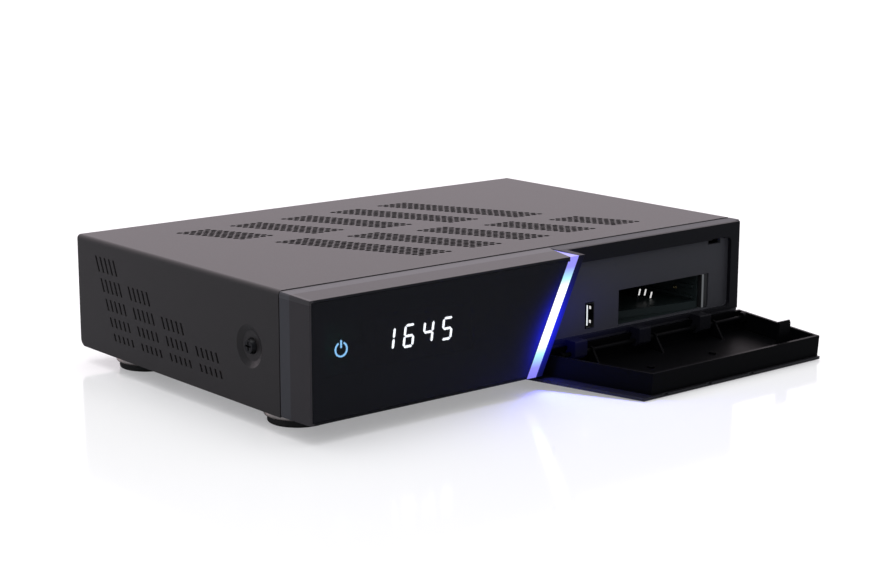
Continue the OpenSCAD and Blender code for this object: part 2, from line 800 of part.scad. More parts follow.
// Openings of the pocket and hollows behind the frame
module right_cuts() {
    low = bezel_inset + bezel_wall;
    high = body_h - pocket_top;
    right = body_w - bay_step_w - 3;
    along_y(pocket_back_y, bezel_d + cut) polygon([[lean_x(low, bay_x + 2), low], [right, low],
        [right, high], [lean_x(high, bay_x + 2), high]]);
    along_y(right_hollow_y, bezel_d + cut) slanted(bay_x + 4, body_w / 2 - 22, body_h - pocket_top + 2,
        body_h - bezel_draft - bezel_wall);
    block([card_x0, bay_d, card_z], [card_x1, bezel_d + cut, card_z + card_h]);
    block([front_usb_x0 - hole_fit, bay_d, front_usb_z - hole_fit],
        [front_usb_x0 + usb_h + hole_fit, bezel_d + cut, front_usb_z + usb_w + hole_fit]);
    block([tongue_x1 - tongue_w - 0.5, bay_d - cut, tongue_z - 0.4],
        [tongue_x1 + 0.5, bezel_d + cut, tongue_z + tongue_t + 1.7]);
    block([catch_x0, pocket_back_y, catch_z0], [catch_x1, bezel_d + cut, catch_z1]);
}

module front_glass() {
    color([0.02, 0.02, 0.03, 0.7]) in_casing() along_y(0, glass_t) glass_outline(0);
}

// ---- Light guide and display ---------------------------------------------------------------

wedge_tip_w = 0.5;
wedge_low = body_h - bezel_draft - bar_top_t;

// Wedge of the guide along the moulding's top
module light_wedge(grow) {
    top = body_h - bezel_draft;
    x1 = lean_x(top, bar_w);
    along_z(top - bar_top_t - grow, grow > 0 ? body_h + cut : top)
        polygon([[x1 - bar_w - grow, grow > 0 ? -cut : 0], [x1 + grow, grow > 0 ? -cut : 0],
            [x1 + grow, bar_top_d + grow], [x1 - wedge_tip_w - grow, bar_top_d + grow]]);
}

module light_guide() {
    color([0.85, 0.92, 1]) in_casing() union() {
        along_y(0, bar_depth) slanted(0, bar_w, bezel_draft, wedge_low);
        intersection() {
            along_y(0, bar_top_d + cut) slanted(0, bar_w, wedge_low - cut, body_h - bezel_draft);
            light_wedge(0);
        }
    }
}

module light_board() {
    color([0.1, 0.3, 0.15]) in_casing()
        along_y(bar_depth + glass_gap + 0.2, bar_depth + glass_gap + 0.2 + pcb_t)
        slanted(-3, bar_w - 1, glass_bottom + 2, body_h - bar_top_t - 5);
}

// Segments of a digit, in the order top, upper right, lower right, bottom, lower left, upper left, middle
SEGMENTS = [[0, 1, 2, 3, 4, 5], [1, 2], [0, 1, 6, 4, 3], [0, 1, 6, 2, 3], [5, 6, 1, 2],
    [0, 5, 6, 2, 3], [0, 5, 4, 3, 2, 6], [0, 1, 2], [0, 1, 2, 3, 4, 5, 6], [0, 1, 2, 3, 5, 6]];
shown_digits = [1, 6, 4, 5];
segment_gap = 0.25;

// One segment as a pointed bar along X, from the origin
module segment(length) {
    half = segment_w / 2;
    polygon([[segment_gap, 0], [segment_gap + half, half], [length - segment_gap - half, half],
        [length - segment_gap, 0], [length - segment_gap - half, -half], [segment_gap + half, -half]]);
}

module segment_in_place(index) {
    w = digit_w - segment_w;
    h = (digit_h - segment_w) / 2;
    places = [[0, 2 * h, 0], [w, h, 90], [w, 0, 90], [0, 0, 0], [0, 0, 90], [0, h, 90], [0, h, 0]];
    place = places[index];
    translate([place[0], place[1]]) rotate(place[2]) segment(place[2] == 0 ? w : h);
}

module lit_layer() {
    translate([0, glass_t, 0]) children();
}

module display_digits() {
    color([0.75, 0.85, 1]) in_casing() lit_layer() along_y(0.02, lit_t)
        for (i = [0 : 3], s = SEGMENTS[shown_digits[i]])
            translate([digit_x + i * digit_pitch, digit_z + segment_w / 2])
                multmatrix([[1, tan(digit_lean), 0, 0], [0, 1, 0, 0], [0, 0, 1, 0], [0, 0, 0, 1]])
                    segment_in_place(s);
}

module power_mark() {
    color([0.75, 0.85, 1]) in_casing() lit_layer() along_y(0.02, lit_t)
        translate([mark_x, mark_z]) {
            difference() {
                circle(mark_r, $fn = fine);
                circle(mark_r - mark_line, $fn = fine);
                polygon([[0, 0], [-mark_r, 2 * mark_r], [mark_r, 2 * mark_r]]);
            }
            translate([-mark_line / 2, mark_r * 0.2]) square([mark_line, mark_r]);
        }
}

board_y = 12;
front_board_x1 = bar_x - 20;

module display_module() {
    color([0.13, 0.13, 0.14]) in_casing() difference() {
        block([digit_x - 5, glass_t + lit_t, window_low + 2],
            [window_x1 - 3, board_y, window_high - 3]);
        for (x = [digit_x - 2.5, window_x1 - 5.5])
            bar_along_y(board_y - 4, board_y + cut, x, (window_low + window_high) / 2, 1);
    }
}

module infrared_eye() {
    color([0.15, 0.05, 0.05]) in_casing() {
        block([digit_x - 12, glass_t + 1, window_low + 6], [digit_x - 7, board_y, window_low + 12]);
    }
}

module front_board() {
    color([0.08, 0.25, 0.12]) in_casing() difference() {
        block([bezel_wall + 2, board_y, bezel_wall + 4.5], [front_board_x1, board_y + pcb_t,
            body_h - bar_top_t - 7]);
        bezel_screw_places() bar_along_y(board_y - cut, board_y + pcb_t + cut, 0, 0, boss_r + 0.4);
    }
}

// ---- Flap -----------------------------------------------------------------------------------

// Moves the closed flap's pieces to the open rest place
module opened() {
    translate([0, hinge_y, hinge_z]) rotate([flap_open, 0, 0]) translate([0, -hinge_y, -hinge_z])
        children();
}

flap_low = 0.5;
flap_high = body_h - bezel_draft;
tail_wall = 1.5;
tail_d = hinge_y + 2.9;
rib_offset = 6.1;

module flap_outline(left, low, high, right) {
    polygon([[lean_x(low, face_x + left), low], [body_w - right, low], [body_w - right, high],
        [lean_x(high, face_x + left), high]]);
}

module flap_face() {
    color([0.03, 0.03, 0.035]) in_casing() opened() difference() {
        along_y(0, face_t) flap_outline(0, flap_low, flap_high, 0);
        for (x = notch_xs)
            block([x - notch_w / 2, face_t * 0.4, flap_high - 0.9],
                [x + notch_w / 2, face_t + cut, flap_high + cut]);
    }
}

notch_w = 3.4;
notch_xs = [for (i = [0 : 2]) lean_x(flap_high, face_x) + 15 + i * 31.5];

// Side outline of a rib from the tray's floor to the rod
module rib_side() {
    floor_y = face_t + tray_floor_t;
    polygon([[floor_y - 0.4, flap_low + tail_wall - 0.2], [hinge_y, flap_low + tail_wall - 0.2],
        [hinge_y + 2.2, hinge_z], [hinge_y + 1.6, hinge_z + 1.8], [hinge_y, hinge_z + 2.5],
        [floor_y - 0.4, hinge_z + rib_len]]);
}

rib_xs = [arm_xs[0] - arm_w / 2 - 6.5, for (x = arm_xs) x + arm_w / 2 + rib_offset];
side_boss_w = 2.4;
tray_screw_xs = [rib_xs[1] + 22, rib_xs[2] + 22];

module flap_tray() {
    color([0.1, 0.1, 0.11]) in_casing() opened() difference() {
        union() {
            difference() {
                along_y(face_t, flap_d) flap_outline(tray_left, flap_low, flap_high - tray_top, 0);
                along_y(face_t + tray_floor_t, flap_d + cut)
                    flap_outline(tray_left + tray_wall, flap_low + tail_wall,
                        flap_high - tray_top - tray_wall, tray_wall);
            }
            for (x = rib_xs) along_x(x - rib_t / 2, x + rib_t / 2) rib_side();
            bar_along_x(body_w - tray_wall - side_boss_w, body_w, hinge_y, hinge_z, knuckle_r, fine);
            latch_tongue();
            for (x = tray_screw_xs)
                bar_along_y(face_t, face_t + tray_floor_t + 1, x, hinge_z + 22, 2);
        }
        bar_along_x(bar_x, body_w + cut, hinge_y, hinge_z, rod_r + 0.01, fine);
    }
}

// Tongue across the tray, with a barbed tip
module latch_tongue() {
    floor_y = face_t + tray_floor_t - 0.4;
    along_x(tongue_x1 - tongue_w, tongue_x1)
        polygon([[floor_y, tongue_z], [tongue_reach, tongue_z], [tongue_reach, tongue_z + tongue_t * 0.5],
            [tongue_reach - 1.5, tongue_z + tongue_t], [floor_y, tongue_z + tongue_t]]);
}

module hinge_rod() {
    color([0.7, 0.7, 0.72]) in_casing() opened()
        bar_along_x(rib_xs[0] - rib_t, body_w - 0.2, hinge_y, hinge_z, rod_r, fine);
}

catch_gap = 0.5;

// Spring clip behind the slot: a U that the tongue enters
module latch_catch() {
    color([0.75, 0.76, 0.78]) in_casing() along_x(catch_x0, catch_x1) difference() {
        translate([pocket_back_y, catch_z0]) square([bezel_d - pocket_back_y - 0.1, catch_z1 - catch_z0]);
        translate([pocket_back_y - cut, tongue_z - catch_gap - 1])
            square([bezel_d - pocket_back_y - 0.7 + cut, tongue_t + 2 * catch_gap + 2.6]);
    }
}

// ---- Front sockets ----------------------------------------------------------------------------

// Socket shell along Y from its mouth, w along X and h along Z, closed at the rear
module shell_tube(w, h, length) {
    difference() {
        block([0, 0, 0], [w, length, h]);
        block([shell_t, -cut, shell_t], [w - shell_t, length - shell_t, h - shell_t]);
    }
}

usb_tongue_t = 1.9;
usb_tongue_side = 1.3;

module usb_tongue(w, h, length) {
    block([usb_tongue_side, 0.8, h - shell_t - 0.5 - usb_tongue_t],
        [w - usb_tongue_side, length - shell_t, h - shell_t - 0.5]);
    block([shell_t, length - shell_t - 4, shell_t], [w - shell_t, length - shell_t, h - shell_t]);
}

// Turns a flat socket on its left side and puts it in the front socket's place
module front_usb_place() {
    translate([front_usb_x0 + usb_h, pocket_floor_y - 0.3, front_usb_z]) rotate([0, -90, 0]) children();
}

module front_usb_shell() {
    color([0.8, 0.8, 0.82]) in_casing() front_usb_place() shell_tube(usb_w, usb_h, usb_len);
}

module front_usb_tongue() {
    color([0.1, 0.1, 0.1]) in_casing() front_usb_place() usb_tongue(usb_w, usb_h, usb_len);
}

usb_back_y = pocket_floor_y - 0.3 + usb_len;

module front_usb_board() {
    color([0.08, 0.25, 0.12]) in_casing() union() {
        block([front_usb_x0 - 6, usb_back_y, base_t + 2],
            [front_usb_x0 + usb_h + 6, usb_back_y + pcb_t, front_usb_z + usb_w + 3]);
    }
}

cage_wall = 1;
cage_top = card_z + card_h + cage_wall;
eject_x0 = card_x1 - eject_w - eject_play;
rail_w = 2.4;
rail_h = 1.4;
shelf_top = card_z + 3.8;

// Frame of the card slot, open at its mouth, with guide rails along both sides
module card_cage() {
    x0 = card_x0 - cage_wall;
    x1 = card_x1 + cage_wall;
    y0 = pocket_back_y;
    y1 = pocket_back_y + card_len;
    color([0.3, 0.31, 0.3]) in_casing() union() {
        difference() {
            block([x0, y0 + 0.1, card_z - cage_wall], [x1, y1, cage_top]);
            block([card_x0, y0 - cut, card_z], [card_x1, y1 - cage_wall, card_z + card_h]);
        }
        for (z = [shelf_top + 1.2, shelf_top + 7, card_z + card_h - 1.8]) {
            block([card_x0 - 0.1, y0 + 3, z], [card_x0 + rail_w, y1 - 6, z + rail_h]);
            block([eject_x0 - 0.6 - rail_w, y0 + 3, z], [eject_x0 - 0.6, y1 - 6, z + rail_h]);
        }
        block([eject_x0 - 1.4, y0 + 1, card_z], [eject_x0 - 0.6, y1 - 6, card_z + card_h]);
        for (x = [x0, x1 - 6], y = [y0 + 8, y1 - 10])
            block([x, y, base_t], [x + 6, y + 6, card_z - cage_wall + 0.1]);
    }
}

// Chip card reader in the slot's floor, its front edge slanting away to the left
module card_reader() {
    color([0.12, 0.14, 0.14]) in_casing() along_z(card_z, shelf_top)
        polygon([[card_x0, pocket_back_y + 11], [eject_x0 - 1.6, pocket_back_y + 0.5],
            [eject_x0 - 1.6, pocket_back_y + card_len - 8], [card_x0, pocket_back_y + card_len - 8]]);
}

contact_count = 3;
contact_w = 1.8;
contact_pitch = 4;
contact_x = 43;
contact_y = 24;

// Row of spring contacts over the reader, each a bent strip
module card_contacts() {
    color([0.85, 0.8, 0.6]) in_casing()
        for (i = [0 : contact_count - 1]) {
            x = card_x0 + contact_x + i * contact_pitch;
            y = pocket_back_y + contact_y;
            along_x(x, x + contact_w) polygon([[y, shelf_top], [y + 9, shelf_top], [y + 5, shelf_top + 3.4],
                [y + 4.4, shelf_top + 3.4], [y + 7.6, shelf_top + 0.4], [y, shelf_top + 0.4]]);
        }
}

// Tall push button at the slot's right, with its push rod
module eject_button() {
    color([0.05, 0.05, 0.055]) in_casing() union() {
        along_z(card_z + eject_play, card_z + card_h - eject_play)
            polygon(rounded([[eject_x0, pocket_floor_y + 0.4], [eject_x0 + eject_w, pocket_floor_y + 0.4],
                [eject_x0 + eject_w, pocket_floor_y + 12], [eject_x0, pocket_floor_y + 12]], 0.5, 3));
        block([eject_x0 + 1, pocket_floor_y + 11, card_z + 7],
            [eject_x0 + eject_w - 1, pocket_back_y + card_len - cage_wall - eject_travel - 1, card_z + 10]);
    }
}

// ---- Main board ---------------------------------------------------------------------------------

main_x1 = body_w - inner_x - 5;
main_y1 = rear_in_y - 0.4;
cage_y1 = pocket_back_y + card_len;
power_y1 = rear_in_y - 24;
standoff_spots = [[main_x + 20, main_y + 6], [main_x + 5, main_y1 - 22], [main_x + 92, main_y + 33],
    [main_x1 - 6, cage_y1 + 12], [main_x1 - 66, main_y1 - 62], [power_x + 5, power_y + 5],
    [power_x + power_w - 5, power_y + 5], [power_x + 5, power_y1 - 32],
    [power_x + power_w - 5, power_y1 - 10]];

module standoff_places() {
    for (spot = standoff_spots) translate([spot[0], spot[1], 0]) children();
}

module main_board() {
    color([0.06, 0.28, 0.14]) in_casing() difference() {
        union() {
            block([main_x, main_y, board_z], [card_x0 - cage_wall - 2, main_y1, board_top]);
            block([card_x0 - cage_wall - 3, cage_y1 + 2, board_z], [main_x1, main_y1, board_top]);
        }
        standoff_places() translate([0, 0, base_t])
            cylinder(h = board_top, d = screw_d + cover_fit, $fn = small);
    }
}

module board_standoffs() {
    color([0.8, 0.68, 0.35]) in_casing() standoff_places() difference() {
        translate([0, 0, base_t]) cylinder(h = standoff_h, r = standoff_r / cos(30), $fn = 6);
        translate([0, 0, base_t + 1]) cylinder(h = standoff_h, d = screw_d - 0.4, $fn = small);
    }
}

module board_screws() {
    color([0.75, 0.75, 0.76]) in_casing() standoff_places() translate([0, 0, board_top]) union() {
        cylinder(h = 1.8, d = 5.6, $fn = small);
        translate([0, 0, -4]) cylinder(h = 4.1, d = screw_d - 0.5, $fn = small);
    }
}

cable_w = 12;
cable_t = 0.3;

// Flat cable from the front board down over the base to the main board
module flat_cable() {
    y0 = board_y + pcb_t;
    rise = board_top + 4;
    x0 = front_board_x1 - cable_w - 1;
    color([0.85, 0.87, 0.9]) in_casing() along_x(x0, x0 + cable_w)
        polygon([[y0, rise + 10], [y0 + 6, rise + 10], [main_y + 2, rise], [main_y + 5, board_top + 2],
            [main_y + 5, board_top], [main_y + 5 + cable_t, board_top],
            [main_y + 5 + cable_t, board_top + 2.1],
            [main_y + 2.2, rise + cable_t], [y0 + 6, rise + 10 + cable_t], [y0, rise + 10 + cable_t]]);
}

sink_x = main_x + 44;
sink_y = main_y + 34;
sink_w = 38;
sink_fins = 9;
sink_z = board_top + 2.4;

module heat_sink() {
    color([0.7, 0.71, 0.73]) in_casing() {
        block([sink_x, sink_y, sink_z], [sink_x + sink_w, sink_y + sink_w, sink_z + 2.5]);
        for (i = [0 : sink_fins - 1]) {
            x = sink_x + i * (sink_w - 1.4) / (sink_fins - 1);
            block([x, sink_y, sink_z + 2.4], [x + 1.4, sink_y + sink_w, sink_z + 14]);
        }
    }
}

module chip(x, y, w, d, h) {
    block([x, y, board_top], [x + w, y + d, board_top + h]);
}

module main_chips() {
    color([0.08, 0.08, 0.09]) in_casing() {
        chip(sink_x + 5, sink_y + 5, 27, 27, 2.4);
        for (i = [0 : 3]) chip(main_x + 44 + i * 15, main_y + 14, 11, 14, 1.2);
        chip(main_x + 14, main_y + 36, 18, 18, 1.6);
        chip(main_x + 12, main_y + 66, 12, 12, 1.6);
        chip(main_x1 - 56, main_y1 - 60, 14, 14, 1.6);
    }
}

module can(x, y, r, h) {
    translate([x, y, board_top]) cylinder(h = h, r = r, $fn = small);
}

module board_capacitors() {
    color([0.12, 0.12, 0.3]) in_casing() {
        for (i = [0 : 4]) can(main_x + 9 + i * 9, main_y + 86, 3.2, 11);
        for (i = [0 : 2]) can(main_x + 14, main_y + 12 + i * 8, 2.6, 7);
        for (i = [0 : 3]) can(main_x1 - 8 - i * 10, cage_y1 + 24, 4, 12);
    }
}

tuner_w = aerial_pitch - 2.4;
tuner_len = 42;
tuner_h = socket_rise + 7;

module tuner_cans() {
    color([0.78, 0.79, 0.8]) in_casing() for (i = [0 : aerial_count - 1]) difference() {
        block([aerial_x(i) - tuner_w / 2, main_y1 - tuner_len, board_top],
            [aerial_x(i) + tuner_w / 2, main_y1 - 0.1, board_top + tuner_h]);
        for (k = [0 : 1])
            translate([aerial_x(i), main_y1 - 12 - k * 18, board_top + tuner_h - 0.6])
                cylinder(h = 2, r = 4.5, $fn = small);
    }
}

nut_t = 2.2;
nut_flat = 13;
insulator_r = 3.3;

aerial_root_r = aerial_r + 0.5;
aerial_root_y = rear_out_y + nut_t;

// Barrels of the aerial sockets, each with a thicker root through its nut, hollow for the insulator
module aerial_sockets() {
    color([0.85, 0.78, 0.45]) in_casing() for (i = [0 : aerial_count - 1]) difference() {
        union() {
            bar_along_y(main_y1 - 0.1, aerial_root_y, aerial_x(i), socket_z, aerial_root_r, fine);
            bar_along_y(main_y1, open_rear_y, aerial_x(i), socket_z, aerial_r, fine);
        }
        bar_along_y(main_y1 + 2, open_rear_y + cut, aerial_x(i), socket_z, insulator_r, fine);
    }
}

module aerial_insulators() {
    color([0.9, 0.9, 0.88]) in_casing() for (i = [0 : aerial_count - 1]) difference() {
        bar_along_y(main_y1 + 2, open_rear_y - 0.6, aerial_x(i), socket_z, insulator_r - 0.01, fine);
        bar_along_y(main_y1 + 4, open_rear_y + cut, aerial_x(i), socket_z, 0.6);
    }
}

module aerial_nuts() {
    color([0.8, 0.8, 0.82]) in_casing() for (i = [0 : aerial_count - 1]) difference() {
        bar_along_y(body_d - sheet_t, body_d - sheet_t + nut_t, aerial_x(i), socket_z,
            nut_flat / 2 / cos(30), 6);
        bar_along_y(body_d - sheet_t - cut, body_d + nut_t, aerial_x(i), socket_z,
            aerial_root_r + 0.02, fine);
    }
}

module rear_place(x, z, w, h, length) {
    translate([x + w / 2, rear_out_y + 0.6, z - h / 2]) rotate([0, 0, 180])
        children();
}

module hdmi_socket() {
    z = board_top + flat_rise;
    color([0.8, 0.8, 0.82]) in_casing() rear_place(hdmi_x, z, hdmi_w, hdmi_h) {
        difference() {
            block([0, 0, 0], [hdmi_w, 12, hdmi_h]);
            along_y(-cut, 10) polygon([[shell_t, hdmi_h - shell_t], [shell_t, 2], [1.8, shell_t],
                [hdmi_w - 1.8, shell_t], [hdmi_w - shell_t, 2], [hdmi_w - shell_t, hdmi_h - shell_t]]);
        }
        block([2, 1, hdmi_h / 2 - 0.1], [hdmi_w - 2, 10.1, hdmi_h / 2 + 0.9]);
    }
}

network_depth = 21;
network_mouth = [11.8, 8.2];

module network_socket() {
    w = network_w;
    h = network_h;
    color([0.78, 0.79, 0.8]) in_casing() rear_place(network_x, board_top + h / 2, w, h) difference() {
        block([0, 0, 0], [w, network_depth, h - 0.01]);
        block([(w - network_mouth[0]) / 2, -cut, 2], [(w + network_mouth[0]) / 2, 14, 2 + network_mouth[1]]);
        block([w / 2 - 3, -cut, 2], [w / 2 + 3, 14, h - 2]);
    }
}

module rear_usb_shell() {
    z = board_top + flat_rise;
    color([0.8, 0.8, 0.82]) in_casing()
        rear_place(rear_usb_x, z, usb_w, usb_h) shell_tube(usb_w, usb_h, usb_len);
}

module rear_usb_tongue() {
    z = board_top + flat_rise;
    color([0.1, 0.1, 0.1]) in_casing()
        rear_place(rear_usb_x, z, usb_w, usb_h) usb_tongue(usb_w, usb_h, usb_len);
}

module optical_socket() {
    color([0.07, 0.07, 0.07]) in_casing() union() {
        rear_place(optical_x, socket_z, optical_w, optical_w) difference() {
            block([0, 0, 0], [optical_w, 12, optical_w]);
            block([2.2, -cut, 2.2], [optical_w - 2.2, 3, optical_w - 2.2]);
        }
        block([optical_x - 4, rear_in_y - 8, board_top],
            [optical_x + 4, rear_in_y - 2, socket_z - optical_w / 2 + 0.1]);
    }
}

av_block_d = 13;

module av_sockets() {
    half = av_pitch / 2 - 0.3;
    color([0.75, 0.75, 0.76]) in_casing() difference() {
        union() {
            block([av_x - half, rear_in_y - av_block_d, board_top],
                [av_x + (av_count - 1) * av_pitch + half, rear_in_y - 0.1, board_top + 2 * socket_rise - 1]);
            for (i = [0 : av_count - 1])
                bar_along_y(rear_in_y - 1, body_d + 8, av_x + i * av_pitch, socket_z, av_r, fine);
        }
        for (i = [0 : av_count - 1])
            bar_along_y(rear_in_y - 6, body_d + 9, av_x + i * av_pitch, socket_z, av_r - 0.6, fine);
    }
}

module av_insulators() {
    color([0.8, 0.2, 0.15]) in_casing() for (i = [0 : av_count - 1]) difference() {
        bar_along_y(rear_in_y - 6, body_d + 7, av_x + i * av_pitch, socket_z, av_r - 0.62, fine);
        bar_along_y(rear_in_y - 3, body_d + 8, av_x + i * av_pitch, socket_z, 1.6);
    }
}

// ---- Power supply ---------------------------------------------------------------------------------

module power_board() {
    color([0.55, 0.42, 0.2]) in_casing() difference() {
        block([power_x, power_y, board_z], [power_x + power_w, power_y1, board_top]);
        standoff_places() translate([0, 0, base_t])
            cylinder(h = board_top, d = screw_d + cover_fit, $fn = small);
    }
}

module insulating_sheet() {
    color([0.85, 0.85, 0.8]) in_casing() difference() {
        block([power_x - 2, power_y - 2, base_t], [power_x + power_w + 2, power_y1 + 2, base_t + 0.3]);
        standoff_places() translate([0, 0, 0]) cylinder(h = standoff_h, r = standoff_r + 1.2, $fn = small);
    }
}

module transformer() {
    x = power_x + 34;
    y = power_y + 34;
    color([0.75, 0.6, 0.2]) in_casing() union() {
        block([x, y, board_top], [x + 26, y + 24, board_top + 4]);
        block([x + 4, y + 2, board_top + 3.9], [x + 22, y + 22, board_top + 20]);
        block([x, y + 7, board_top + 3.9], [x + 26, y + 17, board_top + 24]);
    }
}

module power_capacitors() {
    color([0.1, 0.1, 0.12]) in_casing() {
        can(power_x + 16, power_y + 30, 9, 28);
        for (i = [0 : 2]) can(power_x + power_w - 9, power_y + 22 + i * 13, 5, 20);
        can(power_x + 50, power_y + 14, 5, 16);
    }
}

module power_heat_sink() {
    x = power_x + 8;
    y = power_y + 48;
    color([0.72, 0.73, 0.75]) in_casing() {
        block([x, y, board_top], [x + 20, y + 2, board_top + 24]);
        for (i = [0 : 4])
            block([x + i * 4.6, y + 1.9, board_top + 2], [x + i * 4.6 + 1.4, y + 9, board_top + 24]);
    }
}

inlet_depth = 21;
inlet_recess = 12;
inlet_lobe_r = 4.3;
pin_pitch = 8.5;

// Panel-mounted inlet with a figure-eight recess
module mains_inlet() {
    color([0.05, 0.05, 0.05]) in_casing() difference() {
        union() {
            block([inlet_x - inlet_w / 2, rear_out_y - inlet_depth, mains_z - inlet_h / 2],
                [inlet_x + inlet_w / 2, rear_out_y + 0.1, mains_z + inlet_h / 2]);
            along_y(rear_out_y, rear_out_y + 2) polygon(rounded([
                [inlet_x - inlet_w / 2 - 2, mains_z - inlet_h / 2 - 2],
                [inlet_x + inlet_w / 2 + 2, mains_z - inlet_h / 2 - 2],
                [inlet_x + inlet_w / 2 + 2, mains_z + inlet_h / 2 + 2],
                [inlet_x - inlet_w / 2 - 2, mains_z + inlet_h / 2 + 2]], 1.5));
        }
        along_y(rear_out_y + 2 - inlet_recess, rear_out_y + 2 + cut) {
            for (side = [-1, 1])
                translate([inlet_x + side * pin_pitch / 2, mains_z]) circle(inlet_lobe_r, $fn = fine);
            translate([inlet_x - pin_pitch / 2, mains_z - inlet_lobe_r * 0.86])
                square([pin_pitch, inlet_lobe_r * 1.72]);
        }
        for (side = [-1, 1])
            bar_along_y(rear_out_y - inlet_recess - 2, rear_out_y, inlet_x + side * pin_pitch / 2,
                mains_z, 1.2);
    }
}

module inlet_pins() {
    color([0.8, 0.8, 0.8]) in_casing() for (side = [-1, 1])
        bar_along_y(rear_out_y - inlet_recess - 2, rear_out_y - 1, inlet_x + side * pin_pitch / 2,
            mains_z, 1.18);
}

rocker_depth = 16;
rocker_gap = 0.4;
rocker_pivot_y = rear_out_y - 1;
rocker_pivot_r = 1.2;
rocker_half = 7.6;
rocker_in_w = 10.6;

module rocker_frame() {
    color([0.04, 0.04, 0.04]) in_casing() difference() {
        union() {
            block([rocker_x - rocker_body_w / 2, rear_out_y - rocker_depth, mains_z - rocker_body_h / 2],
                [rocker_x + rocker_body_w / 2, rear_out_y + 0.1, mains_z + rocker_body_h / 2]);
            block([rocker_x - rocker_w / 2, rear_out_y, mains_z - rocker_h / 2],
                [rocker_x + rocker_w / 2, rear_out_y + 2, mains_z + rocker_h / 2]);
        }
        block([rocker_x - rocker_in_w / 2, rocker_pivot_y - 6.5, mains_z - rocker_half - 0.8],
            [rocker_x + rocker_in_w / 2, rear_out_y + 2 + cut, mains_z + rocker_half + 0.8]);
        bar_along_x(rocker_x - rocker_in_w / 2 - 0.9, rocker_x + rocker_in_w / 2 + 0.9, rocker_pivot_y,
            mains_z, rocker_pivot_r + 0.05, fine);
    }
}

// Rocker tipped to its on side, with its pivot pins
module power_rocker() {
    w = rocker_in_w / 2 - rocker_gap;
    color([0.06, 0.06, 0.06]) in_casing()
        translate([rocker_x, rocker_pivot_y, mains_z]) rotate([rocker_swing / 2, 0, 0]) union() {
            along_x(-w, w) polygon([[-3, -5], [-3, 5], [3.6, rocker_half], [2.4, 0], [3.6, -rocker_half]]);
            bar_along_x(-w - rocker_gap - 0.7, w + rocker_gap + 0.7, 0, 0, rocker_pivot_r, fine);
        }
}

// ---- Feet and screws --------------------------------------------------------------------------------

ring_wall = 1.5;
ring_round = 1.2;
pad_gap = 0.15;

// Bright cup: a ring wall with a rounded lower edge under a flat top
module foot_rings() {
    color([0.75, 0.62, 0.55]) in_casing() foot_places() rotate_extrude($fn = fine) difference() {
        union() {
            translate([0, -ring_h + ring_round]) square([foot_r, ring_h - ring_round]);
            translate([0, -ring_h]) square([foot_r - ring_round, ring_round + 0.1]);
            translate([foot_r - ring_round, -ring_h + ring_round]) circle(ring_round, $fn = small);
        }
        translate([-cut, -ring_h - cut]) square([pad_r + pad_gap + cut, ring_h - ring_wall + cut]);
        translate([-cut, -ring_h]) square([screw_d / 2 + cover_fit + cut, 2 * ring_h]);
    }
}

module foot_pads() {
    color([0.07, 0.07, 0.07]) in_casing() foot_places() rotate_extrude($fn = fine) difference() {
        union() {
            translate([0, -foot_gap + 1]) square([pad_r, foot_gap - 1 - ring_wall]);
            translate([0, -foot_gap]) square([pad_r - 1, 1.1]);
            translate([pad_r - 1, -foot_gap + 1]) circle(1, $fn = small);
        }
        translate([-cut, -foot_gap - cut]) square([screw_d / 2 + cover_fit + cut, foot_gap + 2 * cut]);
        translate([-cut, -foot_gap - cut]) square([screw_head_d / 2 + 0.6 + cut, 3.4 + cut]);
    }
}

module screw(head_d, head_h, d, length) {
    difference() {
        union() {
            cylinder(h = head_h, r1 = head_d / 2, r2 = head_d / 2 - 0.8, $fn = small);
            translate([0, 0, -length]) cylinder(h = length + 0.1, d = d, $fn = small);
        }
        for (a = [0, 90])
            rotate(a) translate([-head_d * 0.28, -0.45, head_h - 1.1]) cube([head_d * 0.56, 0.9, 2]);
    }
}

module foot_screws() {
    color([0.7, 0.7, 0.72]) in_casing() foot_places()
        translate([0, 0, -foot_gap + 3.4]) mirror([0, 0, 1])
            screw(screw_head_d - 1, 1.8, screw_d - 0.2, foot_gap - 3.4 + base_t - 0.1);
}

module side_screws() {
    color([0.2, 0.2, 0.21]) in_casing() both_sides()
        translate([dimple_depth, dimple_y, dimple_z]) rotate([0, -90, 0])
            screw(screw_head_d, screw_head_h, screw_d - 0.2, screw_len);
}

module rear_screws() {
    color([0.2, 0.2, 0.21]) in_casing() rear_screw_places()
        translate([0, body_d, 0]) rotate([-90, 0, 0]) screw(screw_head_d - 2, 1.8, screw_d - 0.2, screw_len);
}

module bezel_screws() {
    color([0.7, 0.7, 0.72]) in_casing() bezel_screw_places()
        translate([0, front_wall_y + base_t, 0]) rotate([-90, 0, 0])
            screw(screw_head_d - 2.4, 1.8, screw_d - 0.2, screw_len);
}

top_cover();
vent_screens();
chassis_base();
rear_panel();
front_bezel();
front_glass();
light_guide();
light_board();
display_digits();
display_module();
power_mark();
front_board();
infrared_eye();
flap_tray();
flap_face();
hinge_rod();
latch_catch();
front_usb_shell();
front_usb_tongue();
front_usb_board();
card_cage();
card_reader();
card_contacts();
eject_button();
main_board();
board_standoffs();
board_screws();
flat_cable();
heat_sink();
main_chips();
board_capacitors();
tuner_cans();
aerial_sockets();
aerial_nuts();
aerial_insulators();
hdmi_socket();
network_socket();
rear_usb_shell();
rear_usb_tongue();
optical_socket();
av_sockets();
av_insulators();
power_board();
insulating_sheet();
transformer();
power_capacitors();
power_heat_sink();
mains_inlet();
inlet_pins();
rocker_frame();
power_rocker();
foot_rings();
foot_pads();
foot_screws();
side_screws();
rear_screws();
bezel_screws();
